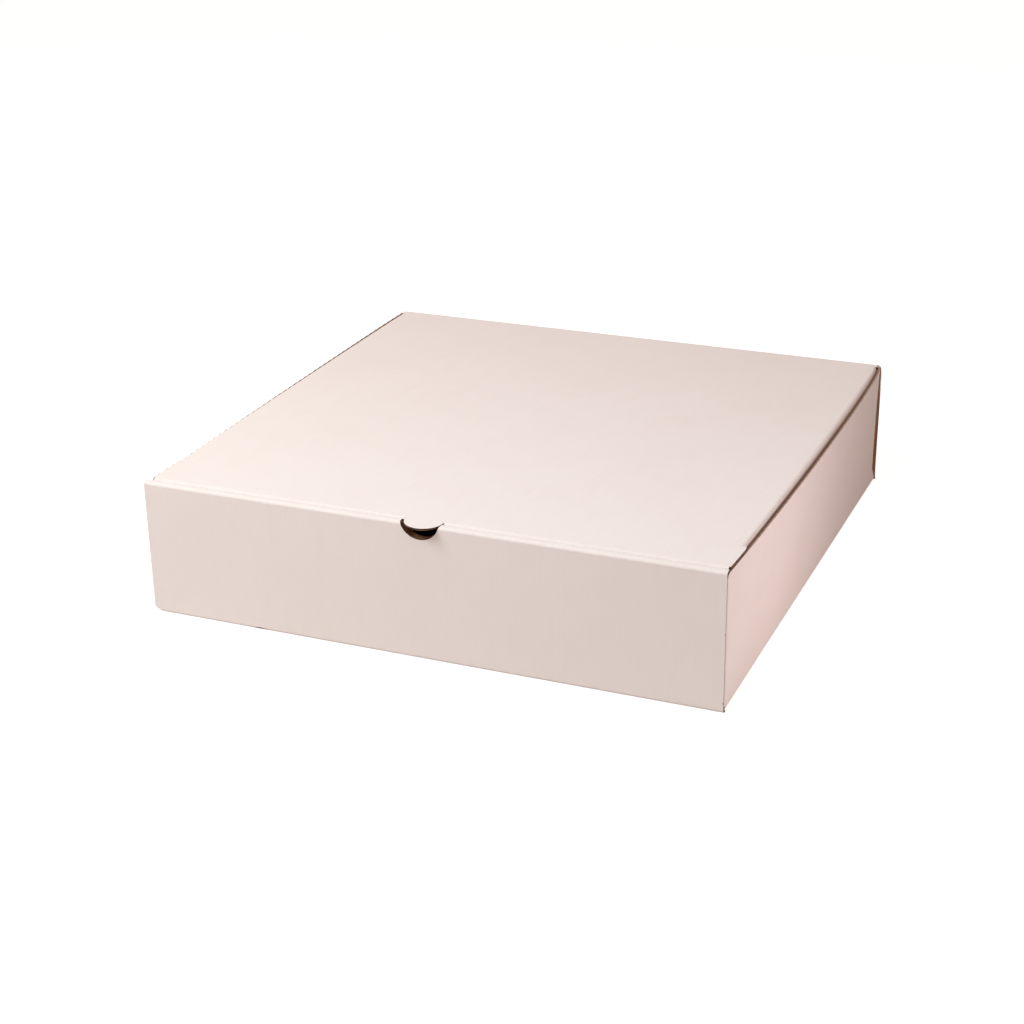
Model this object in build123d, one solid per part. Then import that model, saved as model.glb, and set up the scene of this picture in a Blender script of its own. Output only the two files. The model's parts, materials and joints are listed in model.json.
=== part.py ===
from build123d import *
import math
import os

# Box sizes in millimetres: the front faces -Y and the table is at Z = 0
box_width = 330.0
box_depth = 330.0
front_height = 78.0
rear_height = 76.6

# Board: thickness, inside radius of a crease, air between layers, flat run beside a crease
board = 1.6
crease_inside = 0.2
layer_gap = 0.25
crease_land = 0.5

# Side walls: how far the top edge bows outwards, and how far from each end its curve is drawn out
right_bow = 3.7
left_bow = 1.0
bow_front_reach = 119.0
bow_rear_reach = 21.0

# Ears folded in from the ends of the side walls
ear_length = 72.0
ear_taper = 4.0
ear_corner = 6.0
corner_relief = 0.3

# Lock tabs of the rolled front wall and their slots in the floor
lock_width = 40.0
lock_spacing = 196.0
lock_chamfer = 0.8
lock_gap = 0.3

# Finger notch in the front wall and thumb tab on the lid
notch_radius = 11.3
tab_radius = 10.6

# Lid, its tuck flap and its side flaps
side_gap = 0.5
flap_gap = 0.3
swing_gap = 0.4
hinge_gap = 0.3
tuck_height = 50.0
tuck_inset = 1.5
tuck_taper = 5.0
tuck_corner = 12.0
flap_height = 45.0
flap_front_setback = 33.0
flap_rear_setback = 6.5
flap_slant = 8.0
flap_corner = 10.0
flap_relief = 0.8
lid_corner = 1.5
rear_corner = 2.5

# Short slit cut through the bottom crease of the front wall
slit_length = 10.7
slit_width = 0.9
slit_place = -98.4
slit_angle = 52.0

# Places that follow from the sizes
half_board = board / 2
half_width = box_width / 2
half_depth = box_depth / 2
crease_outside = crease_inside + board
crease_middle = crease_inside + half_board
roll_depth = 3 * board + 2 * layer_gap
roll_rear = -half_depth + roll_depth
wall_foot = crease_outside + crease_land
wall_top = front_height - board - corner_relief
ear_plane = half_depth - board - layer_gap - half_board
wall_half_length = ear_plane - crease_middle - crease_land
ear_foot = wall_foot
rear_ear_top = rear_height - board - 2 * layer_gap
inner_panel_half_width = half_width - board - side_gap
hinge_y = half_depth - half_board
hinge_z = rear_height - half_board
swing_radius = hinge_y - roll_rear - swing_gap
lid_half_width = half_width - board - side_gap
flap_middle = half_width - board - flap_gap - half_board
flap_start = flap_middle - crease_middle - crease_land
lid_front = hinge_y - swing_radius
lid_rear = hinge_y - half_board - hinge_gap
lid_rise = math.degrees(math.asin((front_height - rear_height) / swing_radius))
past = 1.0

# Share of its handles' height that a symmetric cubic curve reaches
bezier_peak = 0.75


def block(low, high):
    """Square-edged block between two corners."""
    size = [b - a for a, b in zip(low, high)]
    middle = [(a + b) / 2 for a, b in zip(low, high)]
    return Pos(*middle) * Box(*size)


def side_block(side, near, far, front, rear, bottom, top):
    """Block on one side of the box, given by its distances from the middle."""
    across = sorted((side * near, side * far))
    return block((across[0], front, bottom), (across[1], rear, top))


def folded_board(plane, points, radius, start, end):
    """Board folded along the middle line of its section, between two stations on the plane's normal."""
    section = trace(FilletPolyline(*points, radius=radius), board)
    return extrude(plane.offset(start) * section, amount=end - start, dir=plane.z_dir)


def flat_board(plane, corners, radii, start, end):
    """Flat board cut to an outline, each corner of it rounded by its own radius."""
    outline = Polygon(*corners, align=None)
    for corner, radius in zip(corners, radii):
        if radius > 0:
            near = outline.vertices().sort_by_distance(Vector(*corner))[0]
            outline = fillet(near, radius)
    return extrude(plane.offset(start) * outline, amount=end - start, dir=plane.z_dir)


def rear_corner_waste(side):
    """What a rounded upper corner of the rear wall lacks of a square one."""
    centre_x = half_width - rear_corner
    centre_z = rear_height - rear_corner
    front = half_depth - board - layer_gap
    rear = half_depth + past
    square = side_block(side, centre_x, half_width + past, front, rear, centre_z, rear_height + past)
    disc = Rot(90, 0, 0) * Cylinder(rear_corner, 2 * (board + layer_gap + past))
    return square - Pos(side * centre_x, half_depth, centre_z) * disc


def floor_with_front_and_rear():
    """Floor, rolled front wall and rear wall: one strip of board over the full width."""
    inner_y = roll_rear - half_board
    outer_y = -half_depth + half_board
    path = [
        (inner_y, board + layer_gap),
        (inner_y, front_height - half_board),
        (outer_y, front_height - half_board),
        (outer_y, half_board),
        (hinge_y, half_board),
        (hinge_y, hinge_z),
    ]
    strip = folded_board(Plane.YZ, path, crease_middle, -half_width, half_width)
    bead = Pos(0, hinge_y, hinge_z) * Rot(0, 90, 0) * Cylinder(half_board, box_width)
    strip += bead
    for side in (-1, 1):
        strip -= rear_corner_waste(side)
        floor_edge = half_width - crease_outside
        floor_reach = half_depth - crease_outside
        beyond = half_width + past
        strip -= side_block(side, floor_edge, beyond, -floor_reach, floor_reach, -past, board + past)
        roll_start = roll_rear - crease_outside
        behind = roll_rear + past
        above = front_height + past
        strip -= side_block(side, inner_panel_half_width, beyond, roll_start, behind, board, above)
    return strip


def side_crease(side):
    """Fold between the floor and a side wall."""
    start = half_width - crease_outside - crease_land
    middle = half_width - half_board
    path = [(side * start, half_board), (side * middle, half_board), (side * middle, wall_foot)]
    reach = half_depth - crease_outside - corner_relief
    return folded_board(Plane.XZ, path, crease_middle, -reach, reach)


def bowed_edge(x, shift):
    """Edge line of a side wall, from its front end to its rear end, curved out by the shift."""
    handle_x = x + shift / bezier_peak
    front_handle = (handle_x, bow_front_reach - wall_half_length)
    rear_handle = (handle_x, wall_half_length - bow_rear_reach)
    return Bezier((x, -wall_half_length), front_handle, rear_handle, (x, wall_half_length))


def side_wall(side, bow):
    """Side wall, straight along its foot and bowed outwards along its top edge."""
    outer = side * half_width
    inner = side * (half_width - board)
    sections = []
    for height, shift in ((wall_foot, 0), (wall_top, side * bow)):
        outer_edge = bowed_edge(outer, shift)
        inner_edge = bowed_edge(inner, shift)
        front_end = Line(outer_edge @ 0, inner_edge @ 0)
        rear_end = Line(outer_edge @ 1, inner_edge @ 1)
        section = make_face([outer_edge, rear_end, inner_edge, front_end])
        sections.append(Plane.XY.offset(height) * section.face())
    return loft(sections, ruled=True)


def ear(side, end, top):
    """Corner fold and ear at one end of a side wall, standing behind the end wall."""
    wall_middle = side * (half_width - half_board)
    plane_y = end * ear_plane
    fold_end = side * (half_width - half_board - crease_middle - crease_land)
    path = [(wall_middle, end * wall_half_length), (wall_middle, plane_y), (fold_end, plane_y)]
    fold = folded_board(Plane.XY, path, crease_middle, ear_foot, top)
    free_end = side * (half_width - ear_length)
    corners = [
        (fold_end, ear_foot),
        (free_end, ear_foot + ear_taper),
        (free_end, top - ear_taper),
        (fold_end, top),
    ]
    flat = flat_board(Plane.XZ, corners, (0, ear_corner, ear_corner, 0), -half_board, half_board)
    return fold + Pos(0, plane_y, 0) * flat


def lock_tab(place):
    """Tab on the lower edge of the inner front panel, reaching into its floor slot."""
    corners = [
        (place - lock_width / 2, board + layer_gap),
        (place + lock_width / 2, board + layer_gap),
        (place + lock_width / 2 - lock_chamfer, layer_gap),
        (place - lock_width / 2 + lock_chamfer, layer_gap),
    ]
    flat = flat_board(Plane.XZ, corners, (0, 0, 0, 0), -half_board, half_board)
    return Pos(0, roll_rear - half_board, 0) * flat


def lock_slot(place):
    """Slot through the floor for a lock tab."""
    half_slot = lock_width / 2 + lock_gap
    front = roll_rear - board - lock_gap
    rear = roll_rear + lock_gap
    return block((place - half_slot, front, -past), (place + half_slot, rear, board + layer_gap))


def finger_notch():
    """Round hole of the flat blank, folded with the front wall over its top strip."""
    strip_middle = -half_depth + roll_depth / 2
    centre_z = front_height + roll_depth / 2
    long_hole = Cylinder(notch_radius, roll_depth + 2 * past)
    through_panels = Pos(0, strip_middle, centre_z) * Rot(90, 0, 0) * long_hole
    strip_underside = front_height - board - crease_inside
    strip_hole = Cylinder(notch_radius, crease_outside + past, align=(Align.CENTER, Align.CENTER, Align.MIN))
    return through_panels + Pos(0, strip_middle, strip_underside) * strip_hole


def crease_slit():
    """Short slit through the board at the bottom crease of the front wall."""
    fold_y = -half_depth + crease_outside
    cutter = Pos(-crease_outside, 0, 0) * Box(2 * board, slit_length, slit_width)
    return Pos(slit_place, fold_y, crease_outside) * Rot(0, 0, 90) * Rot(0, -slit_angle, 0) * cutter


def make_tray():
    """Everything below the lid's crease, as one folded sheet."""
    tray = floor_with_front_and_rear()
    for place in (-lock_spacing / 2, lock_spacing / 2):
        tray -= lock_slot(place)
        tray += lock_tab(place)
    for side, bow in ((-1, left_bow), (1, right_bow)):
        tray += side_crease(side)
        tray += side_wall(side, bow)
        tray += ear(side, -1, wall_top)
        tray += ear(side, 1, rear_ear_top)
    tray -= finger_notch()
    tray -= crease_slit()
    return tray


def tuck_flap():
    """Front crease of the lid and the tuck flap below it."""
    tuck_drop = swing_radius - math.sqrt(swing_radius**2 - tuck_height**2)
    tuck_y = lid_front + half_board
    path = [
        (lid_front + crease_outside + crease_land, hinge_z),
        (tuck_y, hinge_z),
        (tuck_y + tuck_drop, hinge_z - tuck_height),
    ]
    tuck_half_width = lid_half_width - tuck_inset
    tuck = folded_board(Plane.YZ, path, crease_middle, -tuck_half_width, tuck_half_width)
    low_half_width = tuck_half_width - tuck_taper
    outline = [
        (-tuck_half_width, hinge_z + half_board),
        (tuck_half_width, hinge_z + half_board),
        (low_half_width, hinge_z - tuck_height),
        (-low_half_width, hinge_z - tuck_height),
    ]
    reach = tuck_drop + crease_outside + crease_land + past
    shape = flat_board(Plane.XZ, outline, (0, 0, tuck_corner, tuck_corner), -reach, past)
    return tuck & Pos(0, lid_front, 0) * shape


def side_flap(side):
    """Crease and side flap of the lid, clear of the side wall's ends."""
    path = [
        (side * flap_start, hinge_z),
        (side * flap_middle, hinge_z),
        (side * flap_middle, hinge_z - flap_height),
    ]
    front = -half_depth + flap_front_setback
    rear = half_depth - flap_rear_setback
    flap = folded_board(Plane.XZ, path, crease_middle, -rear, -front)
    crease_foot = hinge_z - crease_middle - crease_land
    outline = [
        (front, hinge_z + half_board),
        (rear, hinge_z + half_board),
        (rear, crease_foot),
        (rear - flap_slant, hinge_z - flap_height),
        (front + flap_slant, hinge_z - flap_height),
        (front, crease_foot),
    ]
    radii = (0, 0, 0, flap_corner, flap_corner, 0)
    shape = flat_board(Plane.YZ, outline, radii, -half_width, half_width)
    return flap & shape


def lid_panel():
    """Flat top of the lid, with its raw edges in front of and behind the side flaps."""
    front = lid_front + crease_outside + crease_land
    flap_front = -half_depth + flap_front_setback - flap_relief
    flap_rear = half_depth - flap_rear_setback + flap_relief
    half_outline = [
        (lid_half_width, front),
        (lid_half_width, flap_front),
        (flap_start, flap_front),
        (flap_start, flap_rear),
        (lid_half_width, flap_rear),
        (lid_half_width, lid_rear),
    ]
    other_half = [
        (-lid_half_width, lid_rear),
        (-lid_half_width, flap_rear),
        (-flap_start, flap_rear),
        (-flap_start, flap_front),
        (-lid_half_width, flap_front),
        (-lid_half_width, front),
    ]
    radii = (lid_corner, 0, 0, 0, 0, lid_corner)
    outline = half_outline + other_half
    return flat_board(Plane.XY, outline, radii * 2, hinge_z - half_board, hinge_z + half_board)


def tab_hole():
    """Half-round hole that the thumb tab leaves in the crease and the tuck flap."""
    reach = crease_outside + crease_land
    through = Pos(0, lid_front, hinge_z + half_board) * Rot(90, 0, 0) * Cylinder(tab_radius, 2 * past)
    deep = Rot(90, 0, 0) * Cylinder(tab_radius, reach + past, align=(Align.CENTER, Align.CENTER, Align.MAX))
    through += Pos(0, lid_front, hinge_z + half_board) * deep
    return through


def thumb_tab():
    """Half-round tab in the plane of the lid, standing out over the finger notch."""
    root = lid_front + crease_outside + crease_land
    disc = Cylinder(tab_radius, board)
    behind = block((-tab_radius, 0, -half_board), (tab_radius, tab_radius, half_board))
    neck = block((-tab_radius, 0, -half_board), (tab_radius, root - lid_front, half_board))
    return Pos(0, lid_front, hinge_z) * ((disc - behind) + neck)


def make_lid():
    """Lid panel, side flaps, tuck flap and thumb tab, in the closed place."""
    lid = tuck_flap() - tab_hole()
    lid += lid_panel()
    lid += thumb_tab()
    for side in (-1, 1):
        lid += side_flap(side)
    hinge = Axis((0, hinge_y, hinge_z), (1, 0, 0))
    return lid.rotate(hinge, -lid_rise)


os.makedirs("parts", exist_ok=True)
export_step(make_tray(), "parts/tray.step")
export_step(make_lid(), "parts/lid.step")
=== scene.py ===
"""Looks of a folded corrugated-board pizza box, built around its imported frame.

The box is made the way the real one is. Flat sheets of board are cut to their outline, folded along straight
creases, and built in three layers: a white outer liner, a fluted core and a brown inner liner.
"""

from __future__ import annotations

import json
import logging
import math
from abc import ABC, abstractmethod
from dataclasses import dataclass, field
from enum import Enum
from typing import Callable, Iterator, Sequence

import bmesh
import bpy
import numpy as np
from mathutils import Matrix, Quaternion, Vector

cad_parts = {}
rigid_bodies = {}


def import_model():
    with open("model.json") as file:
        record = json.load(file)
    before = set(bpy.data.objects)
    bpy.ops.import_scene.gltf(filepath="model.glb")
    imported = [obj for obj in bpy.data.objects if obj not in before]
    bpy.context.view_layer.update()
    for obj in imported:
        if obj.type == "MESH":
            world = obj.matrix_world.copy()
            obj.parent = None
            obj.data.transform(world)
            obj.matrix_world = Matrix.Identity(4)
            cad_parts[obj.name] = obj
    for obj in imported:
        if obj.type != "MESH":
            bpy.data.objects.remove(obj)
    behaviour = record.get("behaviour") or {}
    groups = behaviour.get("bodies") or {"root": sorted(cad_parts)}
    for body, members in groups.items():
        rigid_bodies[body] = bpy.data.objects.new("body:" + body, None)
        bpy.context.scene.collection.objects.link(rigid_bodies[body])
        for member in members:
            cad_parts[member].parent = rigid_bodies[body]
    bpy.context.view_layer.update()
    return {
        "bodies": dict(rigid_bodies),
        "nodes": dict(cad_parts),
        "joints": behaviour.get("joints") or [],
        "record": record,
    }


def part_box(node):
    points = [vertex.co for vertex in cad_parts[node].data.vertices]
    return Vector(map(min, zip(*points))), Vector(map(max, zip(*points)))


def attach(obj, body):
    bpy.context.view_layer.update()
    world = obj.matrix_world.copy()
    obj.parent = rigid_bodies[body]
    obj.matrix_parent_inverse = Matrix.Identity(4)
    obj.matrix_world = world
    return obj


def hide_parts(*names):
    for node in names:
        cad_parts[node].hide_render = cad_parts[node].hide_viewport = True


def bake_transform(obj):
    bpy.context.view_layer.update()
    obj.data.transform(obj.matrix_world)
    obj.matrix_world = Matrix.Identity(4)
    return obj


log = logging.getLogger("pizza_box")

MM = 0.001
JOINT_TOLERANCE = 1e-6
CREASE_TOLERANCE = 1e-5
SRGB_KNEE, SRGB_SLOPE, SRGB_SHIFT, SRGB_POWER = 0.04045, 12.92, 0.055, 2.4
Points = Sequence[tuple[float, float]]
JointTest = Callable[[float, float], bool]
ShareMap = Callable[[np.ndarray, np.ndarray], np.ndarray]


class Side(Enum):
    """Left or right half of the box, seen from the front."""

    LEFT = -1
    RIGHT = 1


class End(Enum):
    """Front or rear end of a side wall."""

    FRONT = -1
    REAR = 1


class Body(Enum):
    """The two parts that the rear crease joins."""

    TRAY = "tray"
    LID = "lid"


class Slot(Enum):
    """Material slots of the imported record."""

    TRAY_BOARD = "tray_board"
    LID_BOARD = "lid_board"


def linear(colour: str) -> tuple[float, float, float, float]:
    """Turns an sRGB hex colour into the linear values that shaders work with.

    Args:
        colour: Six hex digits after a hash sign.

    Returns:
        Red, green, blue and an alpha of 1.
    """
    shares = [int(colour[place : place + 2], 16) / 255 for place in (1, 3, 5)]
    values = [
        share / SRGB_SLOPE if share <= SRGB_KNEE else ((share + SRGB_SHIFT) / (1 + SRGB_SHIFT)) ** SRGB_POWER
        for share in shares
    ]
    return values[0], values[1], values[2], 1.0


def per_metre(size_mm: float) -> float:
    """Gives the texture scale whose cells are as large as a real size in millimetres."""
    return 1.0 / (size_mm * MM)


def ramp(value: np.ndarray, start: float | np.ndarray, reach: float) -> np.ndarray:
    """Rises evenly from 0 at the start to 1 one reach further on, and stays there."""
    return np.clip((value - start) / reach, 0.0, 1.0)


def smooth(share: np.ndarray) -> np.ndarray:
    """Eases a share between 0 and 1 in and out."""
    return share * share * (3 - 2 * share)


def mirrored(points: Points) -> list[tuple[float, float]]:
    """Gives points reflected from right to left, in reverse order."""
    return [(-a, s) for a, s in reversed(points)]


@dataclass(frozen=True)
class Board:
    """Fine-flute corrugated board, in metres."""

    thickness: float = 1.6 * MM
    liner: float = 0.25 * MM
    flute_pitch: float = 3.3 * MM
    crease_inside: float = 0.2 * MM
    layer_gap: float = 0.25 * MM
    land: float = 0.5 * MM

    @property
    def half(self) -> float:
        """Half of the board's thickness."""
        return self.thickness / 2

    @property
    def crease_middle(self) -> float:
        """Radius of a crease at the middle of the board."""
        return self.crease_inside + self.half

    @property
    def crease_outside(self) -> float:
        """Radius of a crease on its outer face."""
        return self.crease_inside + self.thickness


@dataclass(frozen=True)
class Bow:
    """How far the top edge of a side wall stands out along its length."""

    half_length: float
    most: float
    front_reach: float = 119.0 * MM
    rear_reach: float = 21.0 * MM
    points: int = 201

    def at(self, along: np.ndarray) -> np.ndarray:
        """Gives the bow at places along the wall, measured from its middle towards the rear."""
        share = np.linspace(0.0, 1.0, self.points)
        near, far = 3 * share * (1 - share) ** 2, 3 * share**2 * (1 - share)
        ends = self.half_length * (share**3 - (1 - share) ** 3)
        places = ends + near * (self.front_reach - self.half_length)
        places += far * (self.half_length - self.rear_reach)
        # The two shares together reach three quarters at most, so four thirds of them reach the whole bow
        return np.interp(along, places, (near + far) * self.most * 4 / 3, left=0.0, right=0.0)


@dataclass(frozen=True)
class BoxSizes:
    """Sizes of the folded box in metres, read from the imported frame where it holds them."""

    board: Board
    half_width: float
    half_depth: float
    front_height: float
    hinge_y: float
    hinge_z: float
    right_bow: float
    left_bow: float
    tab_tip: float
    crease_reach: float = 3.0 * MM
    side_gap: float = 0.5 * MM
    corner_relief: float = 0.3 * MM
    flap_gap: float = 0.3 * MM
    swing_gap: float = 0.4 * MM
    rear_draw: float = 1.3 * MM
    draw_reach: float = 5.0 * MM
    draw_fade_top: float = 40.0 * MM
    draw_fade_foot: float = 5.0 * MM
    middle_draw: float = 0.4
    draw_slope: float = 0.3

    @classmethod
    def from_frame(cls, frame: dict) -> "BoxSizes":
        """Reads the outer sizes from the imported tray, lid and hinge; the plan is square.


        Returns:
            The sizes that every sheet of the box is drawn from.
        """
        low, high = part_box("tray")
        lid_low, lid_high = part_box("lid")
        hinge = frame["joints"][0]["pos_m"]
        half_depth = high.y
        return cls(
            board=Board(),
            half_width=half_depth,
            half_depth=half_depth,
            front_height=high.z,
            hinge_y=hinge[1],
            hinge_z=hinge[2],
            right_bow=high.x - half_depth,
            left_bow=-low.x - half_depth,
            tab_tip=lid_low.y,
        )

    @property
    def lid_half_width(self) -> float:
        """Half width of the lid panel and of the rolled wall's inner panel."""
        return self.half_width - self.board.thickness - self.side_gap

    @property
    def roll_depth(self) -> float:
        """Depth of the rolled front wall: three layers of board with air between them."""
        return 3 * self.board.thickness + 2 * self.board.layer_gap

    @property
    def roll_rear(self) -> float:
        """Rear face of the rolled front wall."""
        return -self.half_depth + self.roll_depth

    @property
    def wall_foot(self) -> float:
        """Height at which the side walls' foot creases end."""
        return self.board.crease_outside + self.board.land

    @property
    def wall_top(self) -> float:
        """Height of the side walls, just below the rolled strip's underside."""
        return self.front_height - self.board.thickness - self.corner_relief

    @property
    def ear_plane(self) -> float:
        """Distance of an ear's middle from the box's middle."""
        return self.half_depth - self.board.thickness - self.board.layer_gap - self.board.half

    @property
    def wall_half_length(self) -> float:
        """Half length of the straight part of a side wall."""
        return self.ear_plane - self.board.crease_middle - self.board.land

    @property
    def floor_half_width(self) -> float:
        """Distance from the middle at which the floor meets the side creases."""
        return self.half_width - self.board.crease_outside - self.board.land

    @property
    def swing_radius(self) -> float:
        """Distance from the rear crease to the lid's front face."""
        return self.hinge_y - self.roll_rear - self.swing_gap

    @property
    def lid_front(self) -> float:
        """Front face of the lid's tuck flap at its crease."""
        return self.hinge_y - self.swing_radius

    @property
    def tab_root(self) -> float:
        """Line where the thumb tab joins the lid panel."""
        return self.lid_front + self.board.crease_outside + self.board.land

    @property
    def lid_rise(self) -> float:
        """Angle by which the closed lid climbs to the front, in radians."""
        return math.asin((self.front_height - self.hinge_z - self.board.half) / self.swing_radius)

    def bow(self, side: Side) -> Bow:
        """Gives the bow of a side wall."""
        return Bow(self.wall_half_length, self.right_bow if side is Side.RIGHT else self.left_bow)

    def drawn_in(self, along: np.ndarray, height: np.ndarray) -> np.ndarray:
        """Tells how far the rear ear draws the end of a side wall inwards, away from its foot and its top.

        Args:
            along: Places along the wall, measured from its middle towards the rear.
            height: Heights above the table.

        Returns:
            The distance by which the wall stands further in at each place.
        """
        near_end = ramp(along, self.wall_half_length - self.draw_reach, self.draw_reach)
        below_top = ramp(self.wall_top - height, 0.0, self.draw_fade_top)
        above_foot = ramp(height, self.wall_foot, self.draw_fade_foot)
        return self.rear_draw * smooth(near_end) * below_top * above_foot

    def crease_draw(self, along: np.ndarray) -> np.ndarray:
        """Tells how much of a wall's bow the lid's crease follows, more in front than at the rear."""
        return np.clip(self.middle_draw - self.draw_slope * along / self.half_depth, 0.0, 1.0)

    def up_the_wall(self, height: np.ndarray) -> np.ndarray:
        """Tells how far up a side wall each height is, from 0 at its foot to 1 at its top."""
        return ramp(height, self.wall_foot, self.wall_top - self.wall_foot)


@dataclass(frozen=True)
class Run:
    """One straight or evenly curved stretch of a fold path."""

    start: float
    length: float
    origin: tuple[float, float]
    heading: float
    bend: float

    @property
    def end(self) -> float:
        """Distance from the path's start at which the run ends."""
        return self.start + self.length


class FoldPath:
    """Line through the middle of the board, seen along its creases: straight runs joined by small arcs."""

    CREASE_FADE = 1.6 * MM
    ARC_STEPS = 6

    def __init__(self, corners: Points, radius: float) -> None:
        """Lays the runs along a line of corners.

        Args:
            corners: The path's start, its fold corners and its end.
            radius: Radius of every fold at the middle of the board.
        """
        self.runs: list[Run] = []
        self.length = 0.0
        here = np.array(corners[0], float)
        for corner, after in zip(corners[1:-1], corners[2:]):
            corner_at = np.array(corner, float)
            towards = corner_at - here
            away = np.array(after, float) - corner_at
            heading = math.atan2(towards[1], towards[0])
            turn = (math.atan2(away[1], away[0]) - heading + math.pi) % math.tau - math.pi
            setback = radius * math.tan(abs(turn) / 2)
            straight = float(np.linalg.norm(towards)) - setback
            self._add(straight, tuple(here), heading, 0.0)
            entry = corner_at - towards / np.linalg.norm(towards) * setback
            self._add(radius * abs(turn), tuple(entry), heading, math.copysign(1 / radius, turn))
            here = corner_at + away / np.linalg.norm(away) * setback
        last = np.array(corners[-1], float) - here
        self._add(float(np.linalg.norm(last)), tuple(here), math.atan2(last[1], last[0]), 0.0)

    def _add(self, length: float, origin: tuple[float, float], heading: float, bend: float) -> None:
        """Appends one run at the path's present end."""
        self.runs.append(Run(self.length, length, origin, heading, bend))
        self.length += length

    def place(self, along: np.ndarray) -> np.ndarray:
        """Finds points of the path.

        Args:
            along: Distances from the start; a little beyond either end is allowed.

        Returns:
            One row of two coordinates for each distance.
        """
        points = np.zeros((len(along), 2))
        for index, run in enumerate(self.runs):
            first, last = index == 0, index == len(self.runs) - 1
            chosen = (first | (along >= run.start)) & (last | (along < run.end))
            far = along[chosen] - run.start
            if run.bend == 0.0:
                points[chosen, 0] = run.origin[0] + far * math.cos(run.heading)
                points[chosen, 1] = run.origin[1] + far * math.sin(run.heading)
            else:
                turned = run.heading + run.bend * far
                points[chosen, 0] = run.origin[0] + (np.sin(turned) - math.sin(run.heading)) / run.bend
                points[chosen, 1] = run.origin[1] - (np.cos(turned) - math.cos(run.heading)) / run.bend
        return points

    def crease(self, along: np.ndarray) -> np.ndarray:
        """Tells how near each place is to a fold, from 1 in its arc to 0 a little beside it."""
        nearest = np.full(len(along), np.inf)
        for run in self.folds():
            gap = np.maximum(run.start - along, along - run.start - run.length)
            nearest = np.minimum(nearest, np.maximum(gap, 0.0))
        return np.clip(1.0 - nearest / self.CREASE_FADE, 0.0, 1.0)

    def folds(self) -> list[Run]:
        """Gives the path's arcs in order."""
        return [run for run in self.runs if run.bend != 0.0]

    def cuts(self) -> list[float]:
        """Gives the distances at which a flat sheet needs an edge, so that it can bend along the path."""
        places: list[float] = []
        for run in self.folds():
            places += [run.start + run.length * step / self.ARC_STEPS for step in range(self.ARC_STEPS + 1)]
            places += [run.start - self.CREASE_FADE, run.end + self.CREASE_FADE]
        return places


class Fold(ABC):
    """How a flat sheet lies in the folded box: across it is a, along its fold path it is s."""

    handed: float = 1.0
    across_is_s: bool = False

    @abstractmethod
    def middle(self, a: np.ndarray, s: np.ndarray) -> np.ndarray:
        """Places points of the board's middle layer.

        Args:
            a: Distances across the fold path.
            s: Distances along the fold path.

        Returns:
            One row of x, y and z for each pair.
        """

    @abstractmethod
    def crease(self, a: np.ndarray, s: np.ndarray) -> np.ndarray:
        """Tells how near each place is to a fold, from 0 to 1."""

    @abstractmethod
    def blank(self, a: np.ndarray, s: np.ndarray) -> np.ndarray:
        """Gives the place on the flat blank: across the flutes, then along them."""

    def outward(self, a: np.ndarray, s: np.ndarray) -> np.ndarray:
        """Gives the unit direction out of the board's white face at each place."""
        step = 0.01 * MM
        over_a = self.middle(a + step, s) - self.middle(a - step, s)
        over_s = self.middle(a, s + step) - self.middle(a, s - step)
        normals = self.handed * np.cross(over_a, over_s)
        return normals / np.linalg.norm(normals, axis=1, keepdims=True)


@dataclass
class StripFold(Fold):
    """A strip folded along creases that run from side to side."""

    path: FoldPath
    blank_start: float = 0.0
    handed: float = -1.0

    def middle(self, a: np.ndarray, s: np.ndarray) -> np.ndarray:
        """Places points of the strip's middle layer; a is x."""
        across = self.path.place(s)
        return np.column_stack((a, across[:, 0], across[:, 1]))

    def crease(self, a: np.ndarray, s: np.ndarray) -> np.ndarray:
        """Tells how near each place is to one of the strip's folds."""
        return self.path.crease(s)

    def blank(self, a: np.ndarray, s: np.ndarray) -> np.ndarray:
        """Gives the place on the flat blank, whose flutes run along the strip."""
        return np.column_stack((a, s + self.blank_start))


@dataclass
class SideFold(Fold):
    """A panel folded along a crease that runs from front to rear."""

    side: Side
    path: FoldPath
    blank_edge: float
    sense: float = 1.0

    def __post_init__(self) -> None:
        """Sets which way the panel's white face points."""
        self.handed = self.side.value * self.sense
        self.across_is_s = True

    def middle(self, a: np.ndarray, s: np.ndarray) -> np.ndarray:
        """Places points of the panel's middle layer; a is y."""
        across = self.path.place(s)
        return np.column_stack((self.side.value * across[:, 0], a, across[:, 1]))

    def crease(self, a: np.ndarray, s: np.ndarray) -> np.ndarray:
        """Tells how near each place is to the panel's fold."""
        return self.path.crease(s)

    def blank(self, a: np.ndarray, s: np.ndarray) -> np.ndarray:
        """Gives the place on the flat blank, whose flutes run along the panel."""
        return np.column_stack((self.side.value * (self.blank_edge + s), a))


@dataclass(kw_only=True)
class WallFold(SideFold):
    """A side wall with a bowed top edge and an ear folded in at each end."""

    sizes: BoxSizes
    ear_path: FoldPath

    def middle(self, a: np.ndarray, s: np.ndarray) -> np.ndarray:
        """Places points of the wall's middle layer; beyond the wall's ends they turn into its ears."""
        height = self.path.place(s)[:, 1]
        past = np.maximum(np.abs(a) - self.sizes.wall_half_length, 0.0)
        corner = self.ear_path.place(past)
        shift = self.sizes.bow(self.side).at(a) * self.sizes.up_the_wall(height)
        shift -= self.sizes.drawn_in(a, height)
        on_wall = past == 0.0
        y = np.where(on_wall, a, np.sign(a) * corner[:, 1])
        return np.column_stack((self.side.value * (corner[:, 0] + shift), y, height))

    def crease(self, a: np.ndarray, s: np.ndarray) -> np.ndarray:
        """Tells how near each place is to the foot crease or to a corner crease."""
        past = np.abs(a) - self.sizes.wall_half_length
        return np.maximum(self.path.crease(s), self.ear_path.crease(past))


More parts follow.
